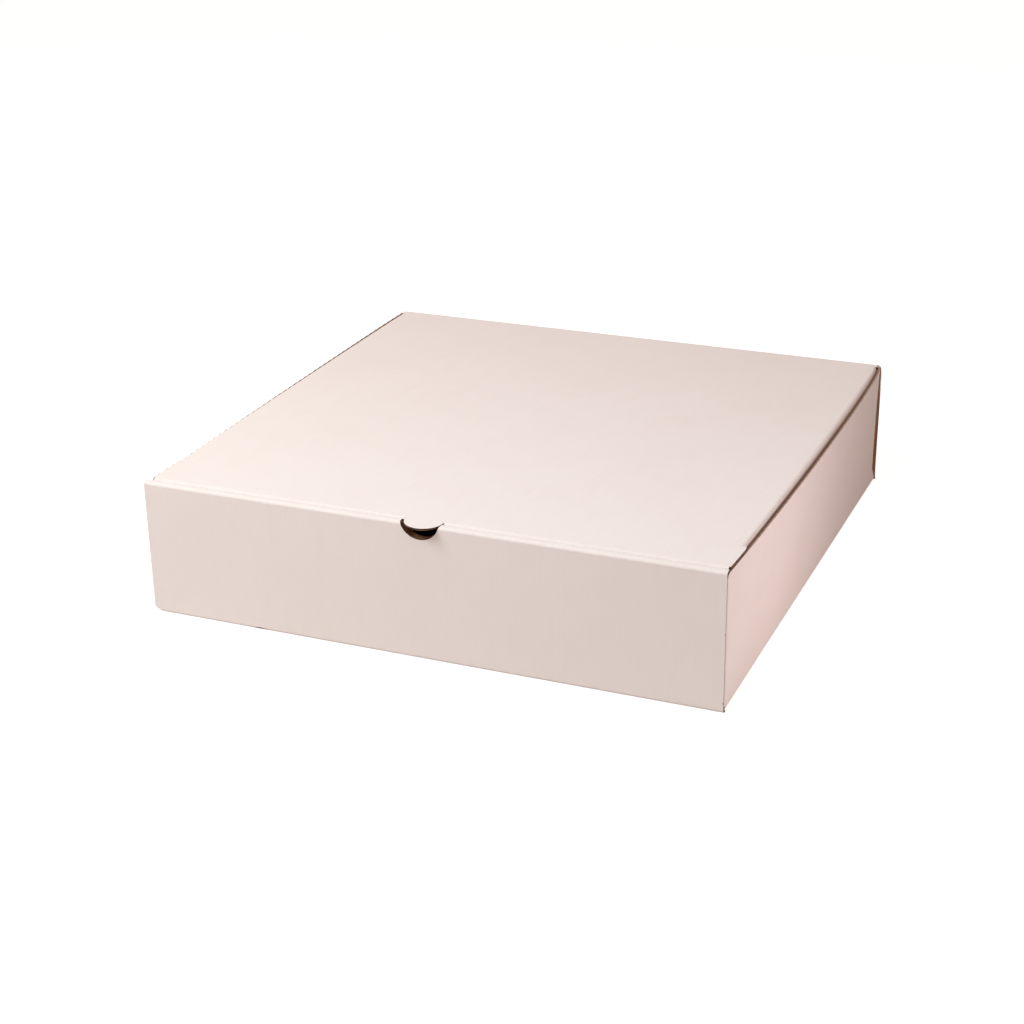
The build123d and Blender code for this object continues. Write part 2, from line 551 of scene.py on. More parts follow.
@dataclass(kw_only=True)
class FlapFold(SideFold):
    """A side flap of the lid, which springs out against the bowed wall and draws its crease with it."""

    sizes: BoxSizes
    flap_share: float

    def middle(self, a: np.ndarray, s: np.ndarray) -> np.ndarray:
        """Places points of the flap's middle layer; a is y."""
        points = super().middle(a, s)
        fold = self.path.folds()[0]
        turned = ramp(s, 0.0, fold.end)
        draw = self.sizes.crease_draw(a)
        share = draw + (self.flap_share - draw) * turned
        shift = self.sizes.bow(self.side).at(a) * share * self.sizes.up_the_wall(points[:, 2])
        shift -= self.sizes.drawn_in(a, points[:, 2])
        points[:, 0] += self.side.value * shift
        return points


@dataclass
class Tilted(Fold):
    """A fold turned about the rear crease, as the closed lid is."""

    flat: Fold
    sizes: BoxSizes

    def __post_init__(self) -> None:
        """Keeps the flat fold's sense."""
        self.handed = self.flat.handed
        self.across_is_s = self.flat.across_is_s

    def middle(self, a: np.ndarray, s: np.ndarray) -> np.ndarray:
        """Places points of the turned sheet."""
        points = self.flat.middle(a, s)
        y = points[:, 1] - self.sizes.hinge_y
        z = points[:, 2] - self.sizes.hinge_z
        cosine, sine = math.cos(self.sizes.lid_rise), math.sin(self.sizes.lid_rise)
        points[:, 1] = self.sizes.hinge_y + y * cosine + z * sine
        points[:, 2] = self.sizes.hinge_z + z * cosine - y * sine
        return points

    def crease(self, a: np.ndarray, s: np.ndarray) -> np.ndarray:
        """Tells how near each place is to a fold."""
        return self.flat.crease(a, s)

    def blank(self, a: np.ndarray, s: np.ndarray) -> np.ndarray:
        """Gives the place on the flat blank."""
        return self.flat.blank(a, s)


def rounded(corners: Sequence[tuple[float, float, float]], steps: int = 8) -> list[tuple[float, float]]:
    """Draws an outline with rounded corners.

    Args:
        corners: For each corner its two coordinates and its radius, which may be 0.
        steps: Edges that each rounded corner is drawn with.

    Returns:
        The outline's points in order.
    """
    outline: list[tuple[float, float]] = []
    count = len(corners)
    for index, (x, y, radius) in enumerate(corners):
        if radius <= 0.0:
            outline.append((x, y))
            continue
        before, after = corners[index - 1], corners[(index + 1) % count]
        corner = Vector((x, y))
        back = (Vector(before[:2]) - corner).normalized()
        ahead = (Vector(after[:2]) - corner).normalized()
        opening = back.angle(ahead)
        centre = corner + (back + ahead).normalized() * radius / math.sin(opening / 2)
        setback = radius / math.tan(opening / 2)
        first = corner + back * setback - centre
        sweep = math.pi - opening
        sense = 1.0 if back.x * ahead.y - back.y * ahead.x < 0 else -1.0
        for step in range(steps + 1):
            turned = Quaternion((0, 0, 1), sense * sweep * step / steps) @ first.to_3d()
            outline.append((centre.x + turned.x, centre.y + turned.y))
    return outline


def never_joined(a: float, s: float) -> bool:
    """Says that no edge of a sheet continues in a neighbour."""
    return False


def joined_at_start(a: float, s: float) -> bool:
    """Says that only the start of a sheet's fold path continues in a neighbour."""
    return s < JOINT_TOLERANCE


def full_thickness(a: np.ndarray, s: np.ndarray) -> np.ndarray:
    """Says that a sheet keeps all of its thickness up to its edges."""
    return np.ones(len(a))


@dataclass
class Sheet:
    """One stretch of the blank, cut to its outline and ready to fold."""

    fold: Fold
    outline: Points
    cuts_a: Sequence[float] = ()
    cuts_s: Sequence[float] = ()
    holes: Sequence[Points] = ()
    joined: JointTest = never_joined
    kept: ShareMap = full_thickness
    firm_face: float = 1.0

    SPLIT_TOLERANCE = 1e-7

    def level(self, board: Board, level: float, a: np.ndarray, s: np.ndarray) -> np.ndarray:
        """Moves a layer to where it lies once the die has crushed the sheet's edges.

        Args:
            board: The board that the sheet is cut from.
            level: Distance of the layer from the board's middle.
            a: Distances across the fold path.
            s: Distances along the fold path.

        Returns:
            The layer's distance from the board's middle at each place.
        """
        firm = self.firm_face * board.half
        return firm - (firm - level) * self.kept(a, s)

    def flat_mesh(self) -> bmesh.types.BMesh:
        """Fills the outline and splits it wherever the sheet bends, into triangles that all layers share."""
        flat = bmesh.new()
        for loop in (self.outline, *self.holes):
            corners = [flat.verts.new((a, s, 0.0)) for a, s in loop]
            for first, second in zip(corners, corners[1:] + corners[:1]):
                flat.edges.new((first, second))
        bmesh.ops.triangle_fill(flat, use_beauty=True, edges=flat.edges[:], normal=(0, 0, 1))
        for direction, places in (((1, 0, 0), self.cuts_a), ((0, 1, 0), self.cuts_s)):
            for place in sorted(set(places)):
                bmesh.ops.bisect_plane(
                    flat,
                    geom=flat.verts[:] + flat.edges[:] + flat.faces[:],
                    plane_co=Vector(direction) * place,
                    plane_no=direction,
                    dist=self.SPLIT_TOLERANCE,
                )
        bmesh.ops.triangulate(flat, faces=flat.faces[:])
        flat.verts.index_update()
        return flat

    def open_edges(self, flat: bmesh.types.BMesh) -> Iterator[bmesh.types.BMEdge]:
        """Gives the edges of the sheet's flat mesh at which no neighbour follows."""
        for edge in flat.edges:
            centre = (edge.verts[0].co + edge.verts[1].co) / 2
            if len(edge.link_faces) == 1 and not self.joined(centre.x, centre.y):
                yield edge


class Face(Enum):
    """The kinds of face that a layer of board shows."""

    OUTER = 0
    INNER = 1
    CUT = 2


class LayerMesh:
    """Collects folded sheets of one layer of board into one mesh with its own places and normals."""

    BLANK = "blank"
    CREASE = "crease"

    def __init__(self, board: Board, low: float, high: float) -> None:
        """Sets the layer's two faces.

        Args:
            board: The board that the layer belongs to.
            low: Distance of its inner face from the board's middle, negative towards the inside of the box.
            high: Distance of its outer face from the board's middle.
        """
        self.board, self.low, self.high = board, low, high
        self.points: list[np.ndarray] = []
        self.normals: list[np.ndarray] = []
        self.blanks: list[np.ndarray] = []
        self.creases: list[np.ndarray] = []
        self.faces: list[tuple[int, ...]] = []
        self.kinds: list[Face] = []
        self.count = 0

    def add(self, sheet: Sheet) -> None:
        """Folds a sheet and adds its layer, closed by a cut edge wherever the sheet ends."""
        flat = sheet.flat_mesh()
        places = np.array([vert.co[:2] for vert in flat.verts], float)
        a, s = places[:, 0], places[:, 1]
        middle, outward = sheet.fold.middle(a, s), sheet.fold.outward(a, s)
        blank, crease = sheet.fold.blank(a, s), sheet.fold.crease(a, s)
        size, base = len(places), self.count
        for level, sign in ((self.high, 1.0), (self.low, -1.0)):
            depth = sheet.level(self.board, level, a, s)
            self.points.append(middle + outward * depth[:, None])
            self.normals.append(outward * sign)
            self.blanks.append(np.column_stack((blank, np.full(size, level))))
            self.creases.append(crease)
        self.count += 2 * size
        for face in flat.faces:
            ring = [base + vert.index for vert in face.verts]
            if (face.normal.z * sheet.fold.handed) < 0:
                ring.reverse()
            self.faces.append(tuple(ring))
            self.kinds.append(Face.OUTER)
            self.faces.append(tuple(index + size for index in reversed(ring)))
            self.kinds.append(Face.INNER)
        for edge in sheet.open_edges(flat):
            face = edge.link_faces[0]
            loop = next(loop for loop in face.loops if loop.edge == edge)
            first, second = base + loop.vert.index, base + loop.link_loop_next.vert.index
            if (face.normal.z * sheet.fold.handed) < 0:
                first, second = second, first
            self.faces.append((first, first + size, second + size, second))
            self.kinds.append(Face.CUT)
        flat.free()

    def make(self, name: str, finishes: dict[Face, bpy.types.Material], wear: Wear) -> bpy.types.Object:
        """Turns the collected sheets into one object.

        Args:
            name: The piece's name.
            finishes: The material of each kind of face.
            wear: Small knocks that move the points.

        Returns:
            The new object, at the origin.
        """
        points = wear.knock(np.concatenate(self.points))
        mesh = bpy.data.meshes.new(name)
        mesh.from_pydata(points.tolist(), [], self.faces)
        slots = list(finishes)
        for kind in slots:
            mesh.materials.append(finishes[kind])
        mesh.polygons.foreach_set("material_index", [slots.index(kind) for kind in self.kinds])
        mesh.polygons.foreach_set("use_smooth", [True] * len(self.faces))
        set_attribute(mesh, self.BLANK, self.blanks)
        set_attribute(mesh, self.CREASE, self.creases)
        mesh.update()
        self._set_normals(mesh)
        return add_object(name, mesh)

    def _set_normals(self, mesh: bpy.types.Mesh) -> None:
        """Gives faces the board's own normals and cut edges their flat ones."""
        skin = np.concatenate(self.normals)
        corners = np.zeros((len(mesh.loops), 3))
        for polygon, kind in zip(mesh.polygons, self.kinds):
            for loop in polygon.loop_indices:
                corner = mesh.loops[loop].vertex_index
                corners[loop] = polygon.normal if kind is Face.CUT else skin[corner]
        mesh.normals_split_custom_set(corners.tolist())


@dataclass(frozen=True)
class Knock:
    """A spot where the board has been pushed in."""

    centre: tuple[float, float, float]
    push: tuple[float, float, float]
    reach: float


@dataclass(frozen=True)
class Wear:
    """The knocks that a body of the box has taken."""

    knocks: Sequence[Knock] = ()

    def knock(self, points: np.ndarray) -> np.ndarray:
        """Moves points near each knock, most at its centre and smoothly less around it."""
        moved = points.copy()
        for knock in self.knocks:
            gap = np.linalg.norm(points - np.array(knock.centre), axis=1)
            share = np.clip(1.0 - gap / knock.reach, 0.0, 1.0)
            moved += smooth(share)[:, None] * np.array(knock.push)
        return moved


def add_node(
    tree: bpy.types.NodeTree, kind: str, inputs: dict | None = None, **settings: object
) -> bpy.types.Node:
    """Adds a node with its settings, values and links.

    Args:
        tree: The node tree that gets it.
        kind: The node's type name.
        inputs: For each input, by name or number, a value or the output socket to link.
        **settings: Properties of the node.

    Returns:
        The new node.
    """
    made = tree.nodes.new(kind)
    for name, value in settings.items():
        setattr(made, name, value)
    for place, value in (inputs or {}).items():
        socket = made.inputs[place]
        if isinstance(value, bpy.types.NodeSocket):
            tree.links.new(value, socket)
        else:
            socket.default_value = value
    return made


def maths(tree: bpy.types.NodeTree, operation: str, *values: object) -> bpy.types.NodeSocket:
    """Adds a maths node that works on numbers or sockets in order, and gives its result."""
    return add_node(tree, "ShaderNodeMath", dict(enumerate(values)), operation=operation).outputs[0]


def set_attribute(mesh: bpy.types.Mesh, name: str, values: Sequence[np.ndarray]) -> None:
    """Gives a mesh's points a named number, or a vector where the values have columns."""
    together = np.concatenate(values).astype(np.float32)
    kind, label = ("FLOAT_VECTOR", "vector") if together.ndim > 1 else ("FLOAT", "value")
    mesh.attributes.new(name, kind, "POINT").data.foreach_set(label, together.ravel())


def add_object(name: str, data: bpy.types.ID) -> bpy.types.Object:
    """Makes an object of some data and links it to the scene."""
    made = bpy.data.objects.new(name, data)
    bpy.context.scene.collection.objects.link(made)
    return made


@dataclass(frozen=True)
class Stain:
    """A cloud pattern that tints paper: not at all at its low mark, and by the most at its high one."""

    cell_mm: float
    low: float
    high: float
    most: float = 1.0
    stretch: float = 1.0


class PaperNodes:
    """Node tree of a paper material, whose patterns lie on the flat blank."""

    REFRACTION = 1.45
    SPECULAR = 0.3
    CLOUD_DETAIL = 3.0
    CLOUD_ROUGHNESS = 0.6

    def __init__(self, name: str, roughness: float) -> None:
        """Starts the material.

        Args:
            name: The material's name.
            roughness: How matt the paper is, from 0 to 1.
        """
        self.material = bpy.data.materials.new(name)
        self.material.use_nodes = True
        self.tree = self.material.node_tree
        self.tree.nodes.clear()
        gloss = {"Roughness": roughness, "IOR": self.REFRACTION, "Specular IOR Level": self.SPECULAR}
        self.shader = add_node(self.tree, "ShaderNodeBsdfPrincipled", gloss)
        add_node(self.tree, "ShaderNodeOutputMaterial", {"Surface": self.shader.outputs["BSDF"]})
        blank = add_node(self.tree, "ShaderNodeAttribute", attribute_name=LayerMesh.BLANK)
        self.place = blank.outputs["Vector"]

    def noise(self, cell_mm: float, stretch: float = 1.0) -> bpy.types.NodeSocket:
        """Adds an even cloud pattern around 0.5.

        Args:
            cell_mm: Size of one cloud across the flutes, in millimetres.
            stretch: How many times longer a cloud is along the flutes.

        Returns:
            The pattern's value.
        """
        scaled = {"Vector": self.place, "Scale": (1.0, 1.0 / stretch, 1.0)}
        clouds = {
            "Vector": add_node(self.tree, "ShaderNodeMapping", scaled).outputs[0],
            "Scale": per_metre(cell_mm),
            "Detail": self.CLOUD_DETAIL,
            "Roughness": self.CLOUD_ROUGHNESS,
        }
        return add_node(self.tree, "ShaderNodeTexNoise", clouds).outputs["Fac"]

    def between(
        self, value: bpy.types.NodeSocket, low: float, high: float, most: float = 1.0
    ) -> bpy.types.NodeSocket:
        """Stretches a value so that low gives 0 and high gives the most."""
        marks = {"Value": value, "From Min": low, "From Max": high, "To Min": 0.0, "To Max": most}
        ranged = add_node(self.tree, "ShaderNodeMapRange", marks, interpolation_type="SMOOTHSTEP")
        return ranged.outputs["Result"]

    def pattern(self, stain: Stain) -> bpy.types.NodeSocket:
        """Adds the share by which a stain tints each place."""
        return self.between(self.noise(stain.cell_mm, stain.stretch), stain.low, stain.high, stain.most)

    def blend(
        self, share: bpy.types.NodeSocket, colour: bpy.types.NodeSocket | tuple, tint: str
    ) -> bpy.types.NodeSocket:
        """Mixes a hex tint into a colour by a share."""
        mixed = add_node(self.tree, "ShaderNodeMix", {0: share, 6: colour, 7: linear(tint)}, data_type="RGBA")
        return mixed.outputs[2]

    def stained(
        self, colour: bpy.types.NodeSocket | tuple, tint: str, *stains: Stain
    ) -> bpy.types.NodeSocket:
        """Mixes a hex tint into a colour once for each stain, in order."""
        for stain in stains:
            colour = self.blend(self.pattern(stain), colour, tint)
        return colour

    def flutes(self, pitch: float) -> bpy.types.NodeSocket:
        """Adds the washboard wave of the flutes below a liner, from -1 to 1."""
        across = add_node(self.tree, "ShaderNodeSeparateXYZ", {"Vector": self.place}).outputs["X"]
        return maths(self.tree, "SINE", maths(self.tree, "MULTIPLY", across, math.tau / pitch))

    def crease(self) -> bpy.types.NodeSocket:
        """Reads how near the surface is to a fold."""
        return add_node(self.tree, "ShaderNodeAttribute", attribute_name=LayerMesh.CREASE).outputs["Fac"]

    def finish(
        self, colour: bpy.types.NodeSocket, *relief: tuple[bpy.types.NodeSocket, float]
    ) -> bpy.types.Material:
        """Colours the paper and adds one bump for each pattern.

        Args:
            colour: The paper's colour.
            *relief: Pairs of a pattern and its height in millimetres.

        Returns:
            The finished material.
        """
        self.tree.links.new(colour, self.shader.inputs["Base Color"])
        below: bpy.types.NodeSocket | None = None
        for value, height_mm in relief:
            inputs = {"Height": value, "Strength": 1.0, "Distance": height_mm * MM}
            if below is not None:
                inputs["Normal"] = below
            below = add_node(self.tree, "ShaderNodeBump", inputs).outputs["Normal"]
        self.tree.links.new(below, self.shader.inputs["Normal"])
        return self.material


@dataclass(frozen=True)
class PaperFinish(ABC):
    """Colours and gloss that every paper surface of the board has."""

    name: str
    base: str
    shade: str
    roughness: float

    @abstractmethod
    def make(self) -> bpy.types.Material:
        """Builds the material."""


@dataclass(frozen=True)
class WhiteLiner(PaperFinish):
    """White-top testliner, a thin bleached ply on recycled brown: matt, faintly clouded, warm on folds."""

    name: str = "white_top_testliner"
    base: str = "#F1E5DF"
    shade: str = "#E8D9D0"
    worn: str = "#C9AE9B"
    speck: str = "#A88A74"
    roughness: float = 0.72
    flute_pitch: float = 3.3 * MM
    broad_clouds: Stain = Stain(60.0, 0.3, 0.8, 0.2)
    small_clouds: Stain = Stain(7.0, 0.4, 0.8, 0.14, stretch=3.0)
    uneven_ribs: Stain = Stain(9.0, 0.3, 0.7, stretch=4.0)
    specks: Stain = Stain(1.1, 0.74, 0.8, 0.45)
    cracks: Stain = Stain(2.4, 0.4, 0.8, stretch=0.3)
    rib_share: float = 0.1
    crack_share: float = 0.14
    tooth_cell_mm: float = 0.5
    tooth_height_mm: float = 0.012
    wave_height_mm: float = 0.004

    def make(self) -> bpy.types.Material:
        """Builds the material of the box's outside."""
        paper = PaperNodes(self.name, self.roughness)
        # Clouds of fibre density, a hand's breadth and a fingertip wide, keep the sheet from looking painted
        colour = paper.stained(linear(self.base), self.shade, self.broad_clouds, self.small_clouds)
        # The flutes show through the thin liner as faint stripes
        wave = paper.flutes(self.flute_pitch)
        ribs = paper.between(wave, -1.0, 1.0, self.rib_share)
        stripes = maths(paper.tree, "MULTIPLY", ribs, paper.pattern(self.uneven_ribs))
        colour = paper.blend(stripes, colour, self.shade)
        # Single dark fibres from the recycled pulp, drawn large enough to show
        colour = paper.stained(colour, self.speck, self.specks)
        # The white ply cracks on the folds and lets some brown through
        folds = maths(paper.tree, "MULTIPLY", paper.crease(), paper.pattern(self.cracks))
        colour = paper.blend(maths(paper.tree, "MULTIPLY", folds, self.crack_share), colour, self.worn)
        # Paper tooth and the washboard of the flutes catch the grazing light
        tooth = paper.noise(self.tooth_cell_mm)
        return paper.finish(colour, (wave, self.wave_height_mm), (tooth, self.tooth_height_mm))


@dataclass(frozen=True)
class KraftLiner(PaperFinish):
    """Unbleached recycled liner of the inside: brown, streaked along the flutes and flecked. Its brown is
    taken darker as painted shade, so that the finger notch and the gaps beside the lid's side flaps read
    dark.
    """

    name: str = "recycled_kraft_liner"
    # The kraft's own brown, set at the dark end of kraft as painted shade for the notch and the flap gaps
    base: str = "#A67D5A"
    shade: str = "#8C6545"
    fleck: str = "#63432D"
    roughness: float = 0.8
    flute_pitch: float = 3.3 * MM
    streaks: Stain = Stain(2.2, 0.3, 0.7, 0.7, stretch=12.0)
    broad_clouds: Stain = Stain(45.0, 0.4, 0.7, 0.35)
    flecks: Stain = Stain(0.9, 0.66, 0.76, 0.6)
    rib_share: float = 0.25
    tooth_cell_mm: float = 0.45
    relief_mm: float = 0.03

    def make(self) -> bpy.types.Material:
        """Builds the material of the box's inside."""
        paper = PaperNodes(self.name, self.roughness)
        # Long streaks are the way the pulp lay on the paper machine
        colour = paper.stained(linear(self.base), self.shade, self.streaks, self.broad_clouds)
        colour = paper.stained(colour, self.fleck, self.flecks)
        wave = paper.flutes(self.flute_pitch)
        colour = paper.blend(paper.between(wave, -1.0, 1.0, self.rib_share), colour, self.shade)
        return paper.finish(colour, (wave, self.relief_mm), (paper.noise(self.tooth_cell_mm), self.relief_mm))


@dataclass(frozen=True)
class CutKraft(PaperFinish):
    """Die-cut edge of the liners and the fluting paper: brown, open and fibrous."""

    name: str = "die_cut_kraft_edge"
    base: str = "#93705F"
    shade: str = "#5D4035"
    roughness: float = 0.9
    fibres: Stain = Stain(0.6, 0.35, 0.65, 0.8)
    blotches: Stain = Stain(6.0, 0.35, 0.7, 0.4)
    relief_mm: float = 0.08

    def make(self) -> bpy.types.Material:
        """Builds the material of raw edges and of the fluted core."""
        paper = PaperNodes(self.name, self.roughness)
        # Torn fibres and larger damp blotches break up the raw edge
        colour = paper.stained(linear(self.base), self.shade, self.fibres, self.blotches)
        return paper.finish(colour, (paper.noise(self.fibres.cell_mm), self.relief_mm))


@dataclass(frozen=True)
class Finishes:
    """The finished materials of the board."""

    white: bpy.types.Material
    # Inside liner: its own brown, taken darker as painted shade
    kraft: bpy.types.Material
    cut: bpy.types.Material
    # Fluting paper: its own brown, drawn darker than the cut edges as painted shade in the open flutes and
    # the finger notch
    fluting: bpy.types.Material
    pinched: bpy.types.Material

    @classmethod
    def make(cls, board: Board) -> "Finishes":
        """Builds all the board's materials."""
        pitch = board.flute_pitch
        return cls(
            white=WhiteLiner(flute_pitch=pitch).make(),
            kraft=KraftLiner(flute_pitch=pitch).make(),
            cut=CutKraft().make(),
            # The fluting paper is brown, and it is drawn darker than the cut edges as painted shade, so that
            # the open flutes and the finger notch read dark
            fluting=CutKraft(name="fluting_medium", base="#84644F", shade="#4E352A").make(),
            pinched=CutKraft(name="crushed_kraft_edge", base="#B08F7A", shade="#8A6A56").make(),
        )


@dataclass
class FlutedCore:
    """The wavy paper between the liners: a dense flat sheet that a node tree bends into flutes."""

    board: Board
    # The fluting's material, darker than the cut edges as painted shade
    finish: bpy.types.Material
    pinched_finish: bpy.types.Material
    steps_per_flute: int = 6
    edge_setback: float = 0.35 * MM
    paper: float = 0.18 * MM
    crush: float = 0.12
    seed: int = 7

    OUTWARD = "outward"
    KEPT = "kept"
    SHIFT = "shift"
    MERGE_GAP = 0.001 * MM
    END_INSET = 1e-6
    PLACES_PER_METRE = 1e7
    ALONG_FLUTES = 0.4
    BEAD_DEPTHS = (0.04 * MM, 0.22 * MM)
    BEAD_SIDES = ((0, 1, 3, 2), (4, 6, 7, 5), (0, 2, 6, 4), (1, 5, 7, 3), (0, 4, 5, 1), (2, 3, 7, 6))

    def node_tree(self) -> bpy.types.NodeTree:
        """Builds the tree that waves a flat sheet across its flutes and gives it the paper's thickness."""
        tree = bpy.data.node_groups.new("fluted_core", "GeometryNodeTree")
        kinds = {"Geometry": "Geometry"}
        kinds |= {name: "Float" for name in ("Pitch", "Height", "Paper", "Crush")}
        kinds |= {"Seed": "Int", "Finish": "Material"}
        for name, kind in kinds.items():
            tree.interface.new_socket(name, in_out="INPUT", socket_type=f"NodeSocket{kind}")
        tree.interface.new_socket("Geometry", in_out="OUTPUT", socket_type="NodeSocketGeometry")
        given = add_node(tree, "NodeGroupInput").outputs

        def attribute(name: str, kind: str) -> bpy.types.NodeSocket:
            """Reads an attribute of the sheet's points."""
            named = {"Name": name}
            return add_node(tree, "GeometryNodeInputNamedAttribute", named, data_type=kind).outputs[0]

        outward = attribute(self.OUTWARD, "FLOAT_VECTOR")

        def outwards(distance: bpy.types.NodeSocket) -> bpy.types.NodeSocket:
            """Gives the step that leads a distance out of the board's white face."""
            return add_node(
                tree, "ShaderNodeVectorMath", {0: outward, "Scale": distance}, operation="SCALE"
            ).outputs[0]

        blank = attribute(LayerMesh.BLANK, "FLOAT_VECTOR")
        across = add_node(tree, "ShaderNodeSeparateXYZ", {0: blank}).outputs["X"]
        turns = maths(tree, "DIVIDE", across, given["Pitch"])
        wave = maths(tree, "SINE", maths(tree, "MULTIPLY", turns, math.tau))
        # Every flute has been squashed by an amount of its own
        flute_id = add_node(tree, "FunctionNodeFloatToInt", {0: maths(tree, "ROUND", turns)}).outputs[0]
        squashed = add_node(
            tree,
            "FunctionNodeRandomValue",
            {"ID": flute_id, "Seed": given["Seed"], 2: 0.0, 3: 1.0},
            data_type="FLOAT",
        ).outputs[1]
        left = maths(tree, "SUBTRACT", 1.0, maths(tree, "MULTIPLY", squashed, given["Crush"]))
        half_room = maths(tree, "MULTIPLY", maths(tree, "SUBTRACT", given["Height"], given["Paper"]), 0.5)
        lift = maths(tree, "MULTIPLY", wave, maths(tree, "MULTIPLY", half_room, left))
        upper = maths(tree, "ADD", lift, maths(tree, "MULTIPLY", given["Paper"], 0.5))
        kept, shift = attribute(self.KEPT, "FLOAT"), attribute(self.SHIFT, "FLOAT")
        up = outwards(maths(tree, "MULTIPLY_ADD", upper, kept, shift))
        waved = add_node(tree, "GeometryNodeSetPosition", {"Geometry": given["Geometry"], "Offset": up})
        inward = outwards(maths(tree, "MULTIPLY", given["Paper"], -1.0))
        thick = {"Mesh": waved.outputs[0], "Offset": inward, "Offset Scale": 1.0, "Individual": False}
        under = add_node(tree, "GeometryNodeExtrudeMesh", thick)
        flipped = add_node(tree, "GeometryNodeFlipFaces", {0: waved.outputs[0]})
        joined = add_node(tree, "GeometryNodeJoinGeometry")
        for part in (under, flipped):
            tree.links.new(part.outputs[0], joined.inputs[0])
        shape = joined.outputs[0]
        for kind, inputs in (
            ("GeometryNodeMergeByDistance", {"Distance": self.MERGE_GAP}),
            ("GeometryNodeFlipFaces", {}),
            ("GeometryNodeRealizeInstances", {}),
            ("GeometryNodeSetMaterial", {"Material": given["Finish"]}),
            ("NodeGroupOutput", {}),
        ):
            made = add_node(tree, kind, {0: shape, **inputs})
            shape = made.outputs[0] if made.outputs else None
        return tree

    def _lines(self, loops: Sequence[Points], place: float, joined: JointTest) -> list[tuple[float, float]]:
        """Finds where a line along the flutes lies inside a sheet.

        Args:
            loops: The sheet's outline and holes, across the flutes first.
            place: Where the line is, across the flutes.
            joined: Tells which edges run on into a neighbour.

        Returns:
            Start and end of each stretch inside, set back from the raw edges.
        """
        crossings: list[float] = []
        for loop in loops:
            for (u0, v0), (u1, v1) in zip(loop, list(loop[1:]) + [loop[0]]):
                if (u0 <= place) != (u1 <= place):
                    crossings.append(v0 + (v1 - v0) * (place - u0) / (u1 - u0))
        crossings.sort()
        stretches = []
        for low, high in zip(crossings[::2], crossings[1::2]):
            start = low if joined(place, low) else low + self.edge_setback
            stop = high if joined(place, high) else high - self.edge_setback
            if stop - start > self.edge_setback:
                stretches.append((start, stop))
        return stretches

    def _fill(self, sheet: Sheet) -> tuple[np.ndarray, list[tuple[int, ...]]]:
        """Fills a sheet with even columns, none wider than one step of a flute.

        Args:
            sheet: The sheet that is filled.

        Returns:
            Flat places, one row of a and s each, and the faces between them.
        """
        flip = sheet.fold.across_is_s
        loops = [[(s, a) if flip else (a, s) for a, s in loop] for loop in (sheet.outline, *sheet.holes)]
        joined = (lambda u, v: sheet.joined(v, u)) if flip else sheet.joined
        rows = sorted(set(sheet.cuts_a if flip else sheet.cuts_s))
        wide = [u for u, _ in loops[0]]
        step = self.board.flute_pitch / self.steps_per_flute
        count = max(2, math.ceil((max(wide) - min(wide)) / step))
        columns = np.linspace(min(wide) + self.END_INSET, max(wide) - self.END_INSET, count + 1)
        places: list[tuple[float, float]] = []
        faces: list[tuple[int, ...]] = []
        index: dict[tuple[int, int], int] = {}

        def vertex(column: int, v: float) -> int:
            """Gives the number of the vertex at a place of a column, made when first asked for."""
            key = (column, round(v * self.PLACES_PER_METRE))
            if key not in index:
                index[key] = len(places)
                places.append((columns[column], v))
            return index[key]

        stretches = [self._lines(loops, float(u), joined) for u in columns]
        for column, (left, right) in enumerate(zip(stretches, stretches[1:])):
            for (low0, high0), (low1, high1) in self._pairs(left, right):
                inside = [row for row in rows if min(low0, low1) < row < max(high0, high1)]
                lefts = [low0] + [min(max(row, low0), high0) for row in inside] + [high0]
                rights = [low1] + [min(max(row, low1), high1) for row in inside] + [high1]
                for row in range(len(lefts) - 1):
                    ring = [
                        vertex(column, lefts[row]),
                        vertex(column + 1, rights[row]),
                        vertex(column + 1, rights[row + 1]),
                        vertex(column, lefts[row + 1]),
                    ]
                    ring = [one for place, one in enumerate(ring) if one != ring[place - 1]]
                    if len(ring) > 2:
                        faces.append(tuple(reversed(ring)) if flip else tuple(ring))
        flat = np.array([(v, u) if flip else (u, v) for u, v in places])
        return flat, faces

    @staticmethod
    def _pairs(left: list, right: list) -> list:
        """Matches the stretches of two neighbouring columns."""
        if len(left) == len(right):
            return [(a, b) for a, b in zip(left, right) if min(a[1], b[1]) > max(a[0], b[0])]
        matched = []
        for a in left:
            for b in right:
                low, high = max(a[0], b[0]), min(a[1], b[1])
                if high > low:
                    matched.append(((low, high), (low, high)))
        return matched

    def make(self, name: str, sheets: Sequence[Sheet], wear: Wear) -> bpy.types.Object:
        """Builds the fluted paper of some sheets as one object.

        Args:
            name: The piece's name.
            sheets: The sheets that it runs through.
            wear: Small knocks that move the points.

        Returns:
            The new object, at the origin.
        """
        points, outward, blanks, kept, shift, faces = [], [], [], [], [], []
        count = 0
        for sheet in sheets:
            flat, rings = self._fill(sheet)
            a, s = flat[:, 0], flat[:, 1]
            kept.append(sheet.kept(a, s))
            shift.append(sheet.level(self.board, 0.0, a, s))
            points.append(sheet.fold.middle(a, s))
            outward.append(sheet.fold.outward(a, s))
            blanks.append(np.column_stack((sheet.fold.blank(a, s), np.zeros(len(a)))))
            turned = sheet.fold.handed < 0
            for ring in rings:
                moved = tuple(one + count for one in ring)
                faces.append(moved[::-1] if turned else moved)
            count += len(a)
        mesh = bpy.data.meshes.new(name)
        mesh.from_pydata(wear.knock(np.concatenate(points)).tolist(), [], faces)
        given = {self.OUTWARD: outward, LayerMesh.BLANK: blanks, self.KEPT: kept, self.SHIFT: shift}
        for label, values in given.items():
            set_attribute(mesh, label, values)
        mesh.update()
        made = add_object(name, mesh)
        self._wave(made)
        self._pinch(made.data, sheets, wear)
        return made

